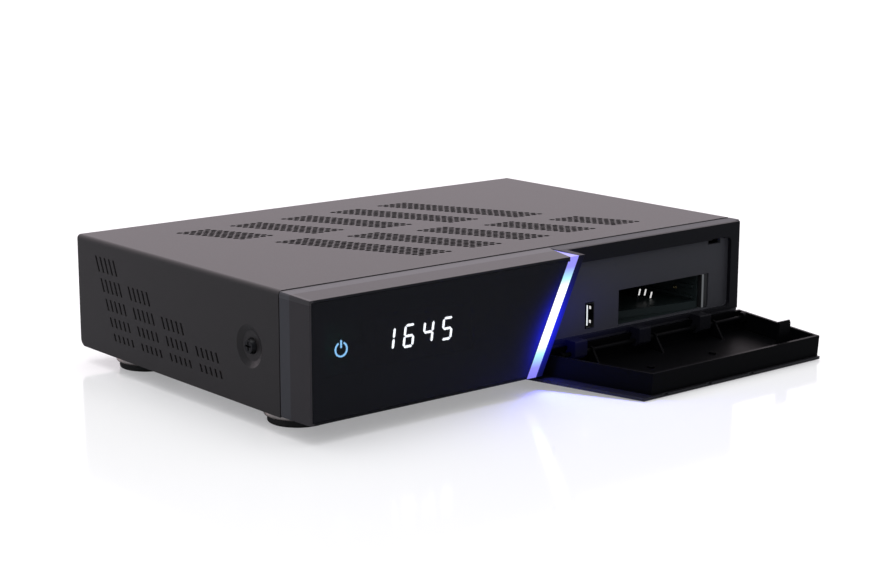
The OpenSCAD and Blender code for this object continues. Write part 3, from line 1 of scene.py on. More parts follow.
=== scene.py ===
"""Looks of a flat satellite television receiver whose front flap stands open.

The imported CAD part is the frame: its nodes keep their shapes and get their finishes here. Finer
surfaces are worked out with numpy: the honeycomb of the top vents stands for its node, and the
contacts in the front socket and the springs and eyelet in the card slot are added.
"""

import logging
import math
from dataclasses import dataclass
from enum import Enum
from typing import Protocol

import bpy
import numpy as np
from mathutils import Matrix, Vector

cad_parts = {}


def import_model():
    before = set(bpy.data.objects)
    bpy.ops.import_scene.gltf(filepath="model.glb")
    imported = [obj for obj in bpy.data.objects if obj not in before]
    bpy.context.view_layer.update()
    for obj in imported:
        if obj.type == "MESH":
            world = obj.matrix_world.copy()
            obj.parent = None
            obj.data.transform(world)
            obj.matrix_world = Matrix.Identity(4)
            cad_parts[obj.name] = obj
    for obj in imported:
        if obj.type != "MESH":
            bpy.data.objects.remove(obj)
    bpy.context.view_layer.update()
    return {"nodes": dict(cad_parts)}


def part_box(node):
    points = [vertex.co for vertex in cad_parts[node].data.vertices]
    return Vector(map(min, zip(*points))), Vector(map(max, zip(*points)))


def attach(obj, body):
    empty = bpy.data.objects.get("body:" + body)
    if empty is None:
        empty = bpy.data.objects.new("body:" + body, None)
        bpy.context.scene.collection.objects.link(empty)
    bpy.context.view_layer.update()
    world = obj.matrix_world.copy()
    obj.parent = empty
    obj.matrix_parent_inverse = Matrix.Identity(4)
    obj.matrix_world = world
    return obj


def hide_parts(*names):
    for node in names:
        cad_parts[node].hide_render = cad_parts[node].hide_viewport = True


LOG = logging.getLogger("receiver")
MM = 0.001
SOFT_EDGE = 0.3 * MM


# ---- Places ------------------------------------------------------------------------------------


@dataclass(frozen=True)
class Casing:
    """Turns a place on the casing, in millimetres, into the row frame, in metres.

    X runs right from the left side, Y back from the front face, Z up from the casing's bottom.
    """

    left: float
    front: float
    bottom: float
    height: float = 58.8

    @classmethod
    def from_frame(cls) -> "Casing":
        """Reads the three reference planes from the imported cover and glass."""
        cover_low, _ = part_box("top_cover")
        glass_low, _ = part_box("front_glass")
        return cls(cover_low.x / MM, glass_low.y / MM, cover_low.z / MM)

    def at(self, x: float, y: float, z: float) -> Vector:
        """Place on the casing in metres."""
        return Vector(((self.left + x) * MM, (self.front + y) * MM, (self.bottom + z) * MM))

    def grid(self, points: np.ndarray) -> np.ndarray:
        """Many places at once.

        Args:
            points: array whose last axis holds x, y and z in millimetres.

        Returns:
            The same array in metres, in the row frame.
        """
        return (points + np.array([self.left, self.front, self.bottom])) * MM


@dataclass(frozen=True)
class LightLine:
    """The leaning line that the light bar follows up the front, in casing millimetres."""

    start_x: float = 129.5
    width: float = 5.9
    lean_deg: float = 26.0

    @property
    def slope(self) -> float:
        """How far the line moves right for each millimetre up."""
        return math.tan(math.radians(self.lean_deg))

    def x_at(self, z: float) -> float:
        """Left edge of the bar at a height."""
        return self.start_x + self.slope * z


# ---- Shader maths -------------------------------------------------------------------------------


class Field:
    """One socket of a shader tree that takes part in sums as a number would."""

    def __init__(self, tree: bpy.types.NodeTree, socket: bpy.types.NodeSocket) -> None:
        """Keeps the tree and the socket that the value comes from."""
        self.tree = tree
        self.socket = socket

    def _math(self, operation: str, *others: "Field | float") -> "Field":
        """Adds one Math node whose first input is this field."""
        node = self.tree.nodes.new("ShaderNodeMath")
        node.operation = operation
        self.tree.links.new(self.socket, node.inputs[0])
        for socket, other in zip(node.inputs[1:], others):
            feed(self.tree, socket, other)
        return Field(self.tree, node.outputs[0])

    def __add__(self, other: "Field | float") -> "Field":
        """Sum."""
        return self._math("ADD", other)

    def __sub__(self, other: "Field | float") -> "Field":
        """Difference."""
        return self._math("SUBTRACT", other)

    def __mul__(self, other: "Field | float") -> "Field":
        """Product."""
        return self._math("MULTIPLY", other)

    def __truediv__(self, other: "Field | float") -> "Field":
        """Quotient."""
        return self._math("DIVIDE", other)

    def over(self, other: "Field | float") -> "Field":
        """1 where this field is greater than the other, else 0."""
        return self._math("GREATER_THAN", other)

    def under(self, other: "Field | float") -> "Field":
        """1 where this field is less than the other, else 0."""
        return self._math("LESS_THAN", other)

    def highest(self, other: "Field | float") -> "Field":
        """The greater of the two."""
        return self._math("MAXIMUM", other)

    def lowest(self, other: "Field | float") -> "Field":
        """The lesser of the two."""
        return self._math("MINIMUM", other)

    def size(self) -> "Field":
        """Absolute value."""
        return self._math("ABSOLUTE")

    def fade(self) -> "Field":
        """e to the power of this field, for glows that die away."""
        return self._math("EXPONENT")

    def part(self) -> "Field":
        """What is left over a whole number."""
        return self._math("FRACT")


def feed(tree: bpy.types.NodeTree, socket: bpy.types.NodeSocket, value: object) -> None:
    """Links a field or a socket to a socket, or sets a constant on it.

    Args:
        tree: the tree that holds the socket.
        socket: the input to feed.
        value: a Field, a socket, or a constant; a colour may leave out its alpha.
    """
    if isinstance(value, Field):
        value = value.socket
    if isinstance(value, bpy.types.NodeSocket):
        tree.links.new(value, socket)
    elif socket.type == "RGBA" and len(value) == 3:
        socket.default_value = (*value, 1.0)
    else:
        socket.default_value = value


def between(tree: bpy.types.NodeTree, factor: Field, first: object,
            second: object) -> bpy.types.NodeSocket:
    """Colour between two colours or sockets.

    Args:
        tree: the tree that gets the Mix node.
        factor: 0 for the first colour, 1 for the second.
        first: a colour or a socket.
        second: a colour or a socket.

    Returns:
        The mixed colour's socket.
    """
    made = tree.nodes.new("ShaderNodeMix")
    made.data_type = "RGBA"
    feed(tree, made.inputs["Factor"], factor)
    feed(tree, made.inputs[6], first)
    feed(tree, made.inputs[7], second)
    return made.outputs[2]


class Surface:
    """A material under construction: one Principled shader and the fields that feed it."""

    def __init__(self, name: str) -> None:
        """Makes an empty material with its shader and its Object coordinates."""
        self.material = bpy.data.materials.new(name)
        self.material.use_nodes = True
        self.tree = self.material.node_tree
        self.tree.nodes.clear()
        self.output = self.node("ShaderNodeOutputMaterial")
        self.shader = self.node("ShaderNodeBsdfPrincipled")
        self.tree.links.new(self.shader.outputs[0], self.output.inputs["Surface"])
        self.place = self.node("ShaderNodeTexCoord").outputs["Object"]
        split = self.node("ShaderNodeSeparateXYZ")
        self.tree.links.new(self.place, split.inputs[0])
        self.x, self.y, self.z = (Field(self.tree, out) for out in split.outputs)

    def node(self, kind: str, **values: object) -> bpy.types.Node:
        """Adds a node and sets its properties and sockets.

        Args:
            kind: Blender's name of the node type.
            **values: property names, or socket names with spaces as underscores.

        Returns:
            The new node.
        """
        made = self.tree.nodes.new(kind)
        for name, value in values.items():
            if hasattr(made, name):
                setattr(made, name, value)
            else:
                feed(self.tree, made.inputs[name.replace("_", " ")], value)
        return made

    def set(self, **values: object) -> None:
        """Sets or feeds sockets of the Principled shader, spaces written as underscores."""
        for name, value in values.items():
            feed(self.tree, self.shader.inputs[name.replace("_", " ")], value)

    def noise(self, grain: float, detail: float, stretch: tuple = (1, 1, 1)) -> Field:
        """Soft noise from 0 to 1.

        Args:
            grain: size of its blotches in metres.
            detail: how many finer layers it has.
            stretch: scale of the coordinates along each axis.

        Returns:
            The noise as a field.
        """
        mapping = self.node("ShaderNodeMapping", Vector=self.place, Scale=stretch)
        made = self.node("ShaderNodeTexNoise", Vector=mapping.outputs[0], Scale=1 / grain,
                         Detail=detail)
        return Field(self.tree, made.outputs["Fac"])

    def cells(self, grain: float) -> Field:
        """Distance to the nearest of many scattered points."""
        made = self.node("ShaderNodeTexVoronoi", Vector=self.place, Scale=1 / grain, feature="F1")
        return Field(self.tree, made.outputs["Distance"])

    def ramp(self, factor: Field, stops: list[tuple[float, tuple]]) -> bpy.types.NodeSocket:
        """Colour that follows a factor through given stops."""
        made = self.node("ShaderNodeValToRGB", Fac=factor)
        elements = made.color_ramp.elements
        while len(elements) < len(stops):
            elements.new(0.5)
        for element, (place, colour) in zip(elements, stops):
            element.position = place
            element.color = (*colour, 1.0)
        return made.outputs[0]

    def blend(self, factor: Field, first: object, second: object) -> bpy.types.NodeSocket:
        """Colour between two, by a factor."""
        return between(self.tree, factor, first, second)

    def relief(self, height: Field | None, depth: float, edge: float = 0.0) -> None:
        """Feeds the shader's normal with a bump, over softened edges.

        Args:
            height: field from 0 to 1, or None to soften the edges only.
            depth: real depth of the bump in metres.
            edge: radius of the softened edges in metres, or 0 for sharp ones.
        """
        normal = None
        if edge > 0:
            normal = self.node("ShaderNodeBevel", samples=4, Radius=edge).outputs[0]
        if height is not None:
            bump = self.node("ShaderNodeBump", Strength=1.0, Distance=depth, Height=height)
            if normal is not None:
                feed(self.tree, bump.inputs["Normal"], normal)
            normal = bump.outputs[0]
        feed(self.tree, self.shader.inputs["Normal"], normal)


# ---- Finishes -----------------------------------------------------------------------------------


class Finish(Protocol):
    """Anything that makes one material under its own name."""

    name: str

    def build(self) -> bpy.types.Material:
        """Makes the material."""


def shaded(colour: tuple, share: float) -> tuple:
    """The same colour, darker or paler by one share."""
    return tuple(share * part for part in colour)


@dataclass(frozen=True)
class PowderCoat:
    """Satin powder coat on sheet steel: a fine orange-peel grain over one dark colour."""

    name: str
    colour: tuple = (0.022, 0.019, 0.02)
    rough: float = 0.4
    spread: float = 0.1
    grain: float = 0.0006
    cloud: float = 0.05
    darker: float = 0.86
    depth: float = 0.000006
    gloss: float = 0.5
    edge: float = SOFT_EDGE

    def build(self) -> bpy.types.Material:
        """Makes the material."""
        made = Surface(self.name)
        grain = made.noise(self.grain, 3.0)
        cloud = made.noise(self.cloud, 2.0)
        made.set(Base_Color=made.blend(cloud, shaded(self.colour, self.darker), self.colour),
                 Roughness=(grain - 0.5) * self.spread + self.rough,
                 Specular_IOR_Level=self.gloss)
        made.relief(grain, self.depth, self.edge)
        return made.material


@dataclass(frozen=True)
class Moulded:
    """Moulded plastic: an even colour with a faint spark-eroded texture."""

    name: str
    colour: tuple
    rough: float = 0.4
    gloss: float = 0.4
    spread: float = 0.08
    grain: float = 0.0004
    cloud: float = 0.02
    darker: float = 0.85
    depth: float = 0.000008

    def build(self) -> bpy.types.Material:
        """Makes the material."""
        made = Surface(self.name)
        grain = made.noise(self.grain, 2.0)
        cloud = made.noise(self.cloud, 2.0)
        made.set(Base_Color=made.blend(cloud, shaded(self.colour, self.darker), self.colour),
                 Roughness=(grain - 0.5) * self.spread + self.rough,
                 Specular_IOR_Level=self.gloss)
        made.relief(grain, self.depth, SOFT_EDGE)
        return made.material


@dataclass(frozen=True)
class BarLight:
    """How the light bar shines on what stands beside it, in casing millimetres."""

    casing: Casing
    line: LightLine
    brightest: float = 0.42
    narrowness: float = 15.0

    def height(self, made: Surface) -> Field:
        """Height over the casing's bottom."""
        return (made.z / MM) - self.casing.bottom

    def aside(self, made: Surface, edge: float) -> Field:
        """Distance to the right of the bar's left edge, less a given width."""
        return (made.x / MM) - self.casing.left - self.height(made) * self.line.slope - (
            self.line.start_x + edge)

    def hump(self, made: Surface) -> Field:
        """Share of the glow at a height: a bell round the bar's brightest stretch."""
        middle = (self.height(made) / self.casing.height) - self.brightest
        return ((middle * middle) * -self.narrowness).fade()


@dataclass(frozen=True)
class FrontMoulding:
    """The front moulding: satin black, paler in the pocket, and lit blue beside the light bar."""

    name: str
    light: BarLight
    black: tuple = (0.008, 0.008, 0.0105)
    pocket: tuple = (0.057, 0.058, 0.068)
    side: tuple = (0.043, 0.04, 0.045)
    # side: a paler copy of the black, painted light on the left end's side face
    glow: tuple = (0.012, 0.02, 1.0)
    side_x: float = 2.2
    pocket_y: float = 15.0
    lit_y: float = 13.0
    top_edge: float = 3.0
    reach: float = 4.0
    strength: float = 0.9
    cloud_reach: float = 20.0
    cloud: float = 0.13
    rough: float = 0.42
    spread: float = 0.1
    gloss: float = 0.15
    coat: float = 0.35
    coat_rough: float = 0.3
    grain: float = 0.0005
    depth: float = 0.000008

    def build(self) -> bpy.types.Material:
        """Makes the material; the glow dies away with the distance from the bar."""
        made = Surface(self.name)
        casing = self.light.casing
        grain = made.noise(self.grain, 2.0)
        across = (made.x / MM) - casing.left
        inwards = (made.y / MM) - casing.front
        aside = self.light.aside(made, self.light.line.width)
        hump = self.light.hump(made)
        near = (aside.size() * (-1 / self.reach)).fade() * hump * inwards.under(self.lit_y)
        cloud = (aside * (-1 / self.cloud_reach)).fade() * aside.over(0.0) * hump * self.cloud
        lit = (near * self.strength + cloud).lowest(1.0)
        upper = self.light.height(made).over(casing.height - self.top_edge) * aside.under(0.0)
        # Painted light: the left end, within side_x, takes the paler side colour where the light
        # falls.
        face = made.blend(across.under(self.side_x), self.black, self.side)
        made.set(Base_Color=made.blend(inwards.over(self.pocket_y), face, self.pocket),
                 Roughness=(grain - 0.5) * self.spread + self.rough,
                 Coat_Weight=upper * self.coat, Coat_Roughness=self.coat_rough,
                 Specular_IOR_Level=self.gloss,
                 Emission_Color=made.blend(lit, (0, 0, 0), self.glow), Emission_Strength=1.0)
        made.relief(grain, self.depth, SOFT_EDGE)
        return made.material


@dataclass(frozen=True)
class SmokedFront:
    """Smoked front glass: nearly black, with a blue glow along the light bar."""

    name: str
    light: BarLight
    colour: tuple = (0.011, 0.0115, 0.0145)
    glow: tuple = (0.01, 0.015, 1.0)
    rough: float = 0.12
    gloss: float = 0.12
    cover: float = 0.88
    reach: float = 3.4
    strength: float = 0.75
    wide_reach: float = 22.0
    wide_height: float = 16.0
    wide: float = 0.02

    def build(self) -> bpy.types.Material:
        """Makes the material; its alpha lets the lit marks behind it through."""
        made = Surface(self.name)
        aside = self.light.aside(made, 0.0)
        low = (self.light.height(made) * (-1 / self.wide_height)).fade()
        wide = (aside * (1 / self.wide_reach)).fade() * low * self.wide
        near = (aside.lowest(0.0) * (1 / self.reach)).fade() * self.light.hump(made)
        lit = (near * self.strength + wide).lowest(1.0)
        made.set(Base_Color=self.colour, Roughness=self.rough, Specular_IOR_Level=self.gloss,
                 Alpha=self.cover, Emission_Strength=1.0,
                 Emission_Color=made.blend(lit, (0, 0, 0), self.glow))
        made.relief(None, 0.0, SOFT_EDGE)
        return made.material


@dataclass(frozen=True)
class LitGuide:
    """The light guide: white in its middle, through a cool green to violet at both ends."""

    name: str
    casing: Casing
    foot: tuple = (0.2, 0.17, 0.8)
    end: tuple = (0.29, 0.265, 0.93)
    cool: tuple = (0.45, 0.95, 0.95)
    middle: tuple = (1.4, 1.4, 1.6)
    unlit: tuple = (0.06, 0.06, 0.12)
    rough: float = 0.25

    def build(self) -> bpy.types.Material:
        """Makes the material; its colour follows the height up the front."""
        made = Surface(self.name)
        share = ((made.z / MM) - self.casing.bottom) / self.casing.height
        colour = made.ramp(share, [(0.0, self.foot), (0.1, self.end), (0.2, self.cool),
                                   (0.3, self.middle), (0.72, self.middle), (0.81, self.cool),
                                   (0.9, self.end), (1.0, self.end)])
        made.set(Base_Color=self.unlit, Roughness=self.rough, Emission_Color=colour,
                 Emission_Strength=1.0)
        return made.material


@dataclass(frozen=True)
class LitMarkOrPaintedGlint:
    """A mark lit from behind, its light a little uneven; also a painted glint on small metal parts."""

    name: str
    colour: tuple
    strength: float
    unlit: tuple = (0.8, 0.85, 1.0)
    rough: float = 0.5
    dimmer: float = 0.8
    cloud: float = 0.002

    def build(self) -> bpy.types.Material:
        """Makes the material."""
        made = Surface(self.name)
        cloud = made.noise(self.cloud, 1.0)
        lit = made.blend(cloud, shaded(self.colour, self.dimmer), self.colour)
        made.set(Base_Color=self.unlit, Roughness=self.rough, Emission_Color=lit,
                 Emission_Strength=self.strength)
        return made.material


@dataclass(frozen=True)
class FlashLit:
    """A dark part in a socket, with the camera's light painted on one upright stretch as a highlight.

    The stretch lies between two places along X, in metres.
    """

    name: str
    left: float
    right: float
    light: tuple = (0.95, 1.0, 1.05)
    dark: tuple = (0.02, 0.021, 0.022)
    rough: float = 0.35
    spread: float = 0.1
    grain: float = 0.0005
    least: float = 0.85
    uneven: float = 0.3

    def build(self) -> bpy.types.Material:
        """Makes the material."""
        made = Surface(self.name)
        grain = made.noise(self.grain, 2.0)
        stretch = made.x.over(self.left) * made.x.under(self.right)
        lit = (stretch * (grain * self.uneven + self.least)).lowest(1.0)
        made.set(Base_Color=self.dark, Roughness=grain * self.spread + self.rough,
                 Emission_Color=made.blend(lit, (0, 0, 0), self.light), Emission_Strength=1.0)
        return made.material


@dataclass(frozen=True)
class Metal:
    """Bare or plated metal with fine drawn lines along one axis."""

    name: str
    colour: tuple
    rough: float = 0.25
    drawn: tuple = (1, 12, 1)
    grain: float = 0.0008
    spread: float = 0.16
    darker: float = 0.82
    depth: float = 0.000003
    edge: float = 0.0002

    def build(self) -> bpy.types.Material:
        """Makes the material."""
        made = Surface(self.name)
        lines = made.noise(self.grain, 3.0, self.drawn)
        made.set(Base_Color=made.blend(lines, shaded(self.colour, self.darker), self.colour),
                 Metallic=1.0, Roughness=(lines - 0.5) * self.spread + self.rough)
        made.relief(lines, self.depth, self.edge)
        return made.material


@dataclass(frozen=True)
class Rubber:
    """Soft rubber: matt, with a dusting of paler specks."""

    name: str
    colour: tuple = (0.02, 0.02, 0.021)
    paler: float = 1.7
    rough: float = 0.62
    spread: float = 0.2
    gloss: float = 0.3
    grain: float = 0.0007
    speck: float = 0.004
    depth: float = 0.00003
    edge: float = 0.0004

    def build(self) -> bpy.types.Material:
        """Makes the material."""
        made = Surface(self.name)
        grain = made.noise(self.grain, 4.0)
        specks = made.noise(self.speck, 2.0)
        made.set(Base_Color=made.blend(specks, self.colour, shaded(self.colour, self.paler)),
                 Roughness=grain * self.spread + self.rough, Specular_IOR_Level=self.gloss)
        made.relief(grain, self.depth, self.edge)
        return made.material


@dataclass(frozen=True)
class CircuitBoard:
    """Circuit board: solder resist over copper tracks, with tinned pads."""

    name: str
    resist: tuple = (0.01, 0.09, 0.035)
    track: tuple = (0.02, 0.17, 0.06)
    pad: tuple = (0.62, 0.6, 0.52)
    pitch: float = 0.0025
    filled: float = 0.42
    patch_pitch: float = 0.018
    patch_size: float = 0.45
    bend_pitch: float = 0.012
    bend: float = 2.4
    pad_pitch: float = 0.0042
    pad_size: float = 0.16
    pad_metal: float = 0.9
    pad_rough: float = -0.15
    rough: float = 0.4
    depth: float = 0.00003

    def build(self) -> bpy.types.Material:
        """Makes the material; tracks run in patches along X and along Y."""
        made = Surface(self.name)
        patch = made.cells(self.patch_pitch).under(self.patch_size)
        wander = made.noise(self.bend_pitch, 2.0) * self.bend
        along = (made.x / self.pitch + wander).part().under(self.filled)
        across = (made.y / self.pitch + wander).part().under(self.filled)
        tracks = along * patch + across * (patch * -1 + 1)
        pads = made.cells(self.pad_pitch).under(self.pad_size)
        colour = made.blend(tracks, self.resist, self.track)
        made.set(Base_Color=made.blend(pads, colour, self.pad),
                 Roughness=pads * self.pad_rough + self.rough, Metallic=pads * self.pad_metal)
        made.relief(tracks, self.depth)
        return made.material


# ---- Meshes -------------------------------------------------------------------------------------


def mesh_piece(name: str, points: np.ndarray, faces: np.ndarray, finish: bpy.types.Material,
               body: str, smooth: bool = False) -> bpy.types.Object:
    """Puts computed points and faces into a new object that rides on a body.

    Args:
        name: name of the piece.
        points: array of n by 3, in metres, in the row frame.
        faces: array of m by 4 point numbers.
        finish: the piece's material.
        body: the CAD body that carries it.
        smooth: whether its faces are shaded smooth.

    Returns:
        The new object.
    """
    data = bpy.data.meshes.new(name)
    data.from_pydata(points.tolist(), [], faces.tolist())
    data.polygons.foreach_set("use_smooth", np.full(len(data.polygons), smooth))
    data.materials.append(finish)
    data.update()
    made = bpy.data.objects.new(name, data)
    bpy.context.scene.collection.objects.link(made)
    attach(made, body)
    LOG.info("piece %s: %d faces", name, len(data.polygons))
    return made


def thicken(made: bpy.types.Object, thickness: float) -> None:
    """Gives a sheet its thickness, inwards from its outer side."""
    solid = made.modifiers.new("thickness", "SOLIDIFY")
    solid.thickness = thickness
    solid.offset = -1.0


# ---- Sub-assemblies -----------------------------------------------------------------------------


class Part(Enum):
    """The two parts of a vent band, with the side of the gap that each lies on."""

    BEFORE = -1
    BEHIND = 1


@dataclass
class TopVents:
    """Honeycomb strips of the cover's top, each a leaning band in two parts."""

    casing: Casing
    finish: bpy.types.Material
    bands: int = 5
    columns: int = 5
    first_x: float = 39.8
    pitch: float = 33.0
    width: float = 19.8
    front_y: float = 44.0
    rear_y: float = 172.0
    lean_deg: float = 25.5
    end_turn_deg: float = 5.0
    split_y: float = 127.0
    split_step: float = 10.1
    split_width: float = 15.5
    web: float = 0.21
    margin: float = 0.01
    sheet: float = 0.7

    def _outline(self, band: int, part: Part) -> np.ndarray:
        """Corners of one part.

        Its sides lean to the right towards the front, and its ends are turned a little.

        Args:
            band: number of the band from the left.
            part: which part of it.

        Returns:
            Four corners in casing millimetres: front left, front right, rear right, rear left.
        """
        middle = self.split_y - band * self.split_step + part.value * self.split_width / 2
        y0, y1 = (self.front_y, middle) if part is Part.BEFORE else (middle, self.rear_y)
        turn = self.width / 2 * math.tan(math.radians(self.end_turn_deg))
        slope = math.tan(math.radians(self.lean_deg))
        y = np.array([y0 + turn, y0 - turn, y1 - turn, y1 + turn])
        x = self.first_x + band * self.pitch + (self.rear_y - y) * slope
        return np.stack([x + np.array([0, 1, 1, 0]) * self.width, y], -1)

    def _part(self, band: int, part: Part) -> tuple[np.ndarray, np.ndarray]:
        """Surface of one part.

        A regular honeycomb is counted in steps: s across a row and t from row to row, so that the
        part's four sides are lines of one s or one t. Each hole has a cell of six corners around
        it, at root 3 over 3 of a step from its middle, and six quads join the cell to its hole.
        The outer corners of the cells at a side are moved onto that side. The straight map that
        sends the steps to the part's own sides keeps every web at one width.

        Args:
            band: number of the band from the left.
            part: which part of it.

        Returns:
            Points in casing millimetres and faces that look up.
        """
        corners = self._outline(band, part)
        tall = math.sqrt(3) / 2
        radius = (1 - self.web) / math.sqrt(3)
        beside = (1 - self.web) / 2 + radius / 2 / math.sqrt(3) + self.margin
        beyond = (radius + self.margin) / tall
        across, along = corners[1] - corners[0], corners[3] - corners[0]
        wide = self.columns - 1 + 2 * beside
        rows = max(2, round(np.ptp(corners[:, 1]) * wide / self.width / tall - 2 * beyond + 1))
        deep = rows - 1 + 2 * beyond
        k, j = (a.ravel()[:, None] for a in np.meshgrid(np.arange(self.columns), np.arange(rows)))
        turn = np.radians(np.arange(30, 390, 60))
        t = np.sin(turn) / math.sqrt(3) / tall
        s = np.cos(turn) / math.sqrt(3) + t / 2
        hole = np.stack([k + s * (1 - self.web), j + t * (1 - self.web)], -1)
        corner = np.arange(6)[None, :]
        left = (k == 0) & ((corner == 2) | (corner == 3) | ((corner == 4) & (j > 0)))
        right = (k == self.columns - 1) & (
            (corner == 0) | (corner == 5) | ((corner == 1) & (j < rows - 1)))
        cell_s = np.where(left, -beside, np.where(right, self.columns - 1 + beside, k + s))
        front = (j == 0) & (corner >= 3)
        rear = (j == rows - 1) & (corner <= 2)
        cell_t = np.where(front, -beyond, np.where(rear, rows - 1 + beyond, j + t))
        steps = np.concatenate([np.stack([cell_s, cell_t], -1), hole], 1).reshape(-1, 2)
        flat = corners[0] + (steps[:, :1] + beside) / wide * across + (
            steps[:, 1:] + beyond) / deep * along
        ring = np.arange(6)
        quads = np.stack([ring, (ring + 1) % 6, (ring + 1) % 6 + 6, ring + 6], -1)
        faces = (np.arange(len(k))[:, None, None] * 12 + quads).reshape(-1, 4)
        points, same = np.unique(np.round(flat, 5), axis=0, return_inverse=True)
        top = np.full((len(points), 1), self.casing.height)
        return np.concatenate([points, top], 1), same.reshape(-1)[faces]

    def build(self) -> bpy.types.Object:
        """Builds every strip as one piece that stands for the vent screens."""
        points, faces, count = [], [], 0
        for band in range(self.bands):
            for part in Part:
                some, few = self._part(band, part)
                points.append(some)
                faces.append(few + count)
                count += len(some)
        made = mesh_piece("vent_honeycomb", self.casing.grid(np.concatenate(points)),
                          np.concatenate(faces), self.finish, "casing")
        thicken(made, self.sheet * MM)
        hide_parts("vent_screens")
        return made


def bar(low: tuple, high: tuple) -> tuple[np.ndarray, np.ndarray]:
    """Square bar between two corners.

    Args:
        low: its least x, y and z in millimetres.
        high: its greatest x, y and z.

    Returns:
        Eight points and six faces that look outwards.
    """
    corner = np.array([[0, 0, 0], [1, 0, 0], [1, 1, 0], [0, 1, 0],
                       [0, 0, 1], [1, 0, 1], [1, 1, 1], [0, 1, 1]])
    faces = np.array([[3, 2, 1, 0], [4, 5, 6, 7], [0, 1, 5, 4], [1, 2, 6, 5], [2, 3, 7, 6],
                      [3, 0, 4, 7]])
    return np.array(low) + corner * (np.array(high) - np.array(low)), faces


def joined(parts: list[tuple[np.ndarray, np.ndarray]]) -> tuple[np.ndarray, np.ndarray]:
    """Several meshes as one: the points follow one another and the faces' numbers move along."""
    starts = np.cumsum([0] + [len(points) for points, _ in parts[:-1]])
    return (np.concatenate([points for points, _ in parts]),
            np.concatenate([faces + start for (_, faces), start in zip(parts, starts)]))


@dataclass
class SocketContacts:
    """Two spring contacts on the right wall of the front USB socket."""

    casing: Casing
    finish: bpy.types.Material
    wall: float = 0.46
    front: float = 1.9
    length: float = 1.2
    height: float = 1.5
    heights: tuple = (16.9, 24.2)
    thickness: float = 0.1

    def build(self) -> bpy.types.Object:
        """Each contact is a small flat bar inside the shell, behind its mouth."""
        low, high = (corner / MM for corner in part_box("front_usb_shell"))
        x1 = high.x - self.casing.left - self.wall
        y0 = low.y - self.casing.front + self.front
        bars = [bar((x1 - self.thickness, y0, z), (x1, y0 + self.length, z + self.height))
                for z in self.heights]
        points, faces = joined(bars)
        return mesh_piece("usb_contacts", self.casing.grid(points), faces, self.finish, "casing")


def torus(outer: float, bore: float, segments: int) -> tuple[np.ndarray, np.ndarray]:
    """Ring in the YZ plane: a small circle carried round a larger one.

    Args:
        outer: its outer radius in millimetres.
        bore: the radius of its hole.
        segments: how many steps it has round; its section has half as many.

    Returns:
        Points round the origin and faces that look outwards.
    """
    steps = (np.linspace(0, 2 * np.pi, count, endpoint=False) for count in (segments, segments // 2))
    u, v = np.meshgrid(*steps, indexing="ij")
    middle, thin = (outer + bore) / 2, (outer - bore) / 2
    reach = middle + thin * np.cos(v)
    points = np.stack([-thin * np.sin(v), reach * np.cos(u), reach * np.sin(u)], -1)
    rows, columns = u.shape
    a, b = (g.ravel() for g in np.meshgrid(np.arange(rows), np.arange(columns), indexing="ij"))
    c, d = (a + 1) % rows, (b + 1) % columns
    faces = np.stack([a * columns + b, a * columns + d, c * columns + d, c * columns + b], -1)
    return points.reshape(-1, 3), faces


@dataclass
class SlotTrim:
    """Small metal parts in the card slot: three springs with painted glints on their tips and one
    eyelet.
    """

    casing: Casing
    post: bpy.types.Material
    tip: bpy.types.Material
    gilt: bpy.types.Material
    tips: tuple = ((246.2, 21.7), (250.6, 21.0), (255.2, 18.9))
    tip_h: float = 3.2
    tip_w: float = 0.75
    tip_y: float = 38.0
    tip_t: float = 0.4
    gap: float = 0.01
    lean: float = 0.3
    floor: float = 16.9
    eyelet: tuple = (269.75, 34.0, 22.1)
    eyelet_r: float = 1.25
    eyelet_bore: float = 0.5
    segments: int = 24

    def springs(self) -> None:
        """Strips leaning sideways: a post in painted shade below, a tip with a painted glint above."""
        posts, ends = [], []
        shift = [(z - self.floor) * self.lean for _, z in self.tips]
        for x, z in self.tips:
            low, high = z - self.tip_h / 2, z + self.tip_h / 2
            right, back = x + self.tip_w, self.tip_y + self.tip_t
            posts.append(bar((x, self.tip_y, self.floor), (right, back, low)))
            ends.append(bar((x, self.tip_y, low + self.gap), (right, back, high)))
        for name, bars, finish in (("slot_posts", posts, self.post), ("slot_tips", ends, self.tip)):
            points, faces = joined(bars)
            corners = len(points) // len(bars)
            points[:, 0] += (points[:, 2] - self.floor) * self.lean - np.repeat(shift, corners)
            mesh_piece(name, self.casing.grid(points), faces, finish, "casing")

    def ring(self) -> bpy.types.Object:
        """Eyelet on the guide's wall."""
        points, faces = torus(self.eyelet_r, self.eyelet_bore, self.segments)
        return mesh_piece("slot_eyelet", self.casing.grid(points + np.array(self.eyelet)), faces,
                          self.gilt, "casing", smooth=True)

    def build(self) -> None:
        """Builds the springs and the eyelet."""
        self.springs()
        self.ring()


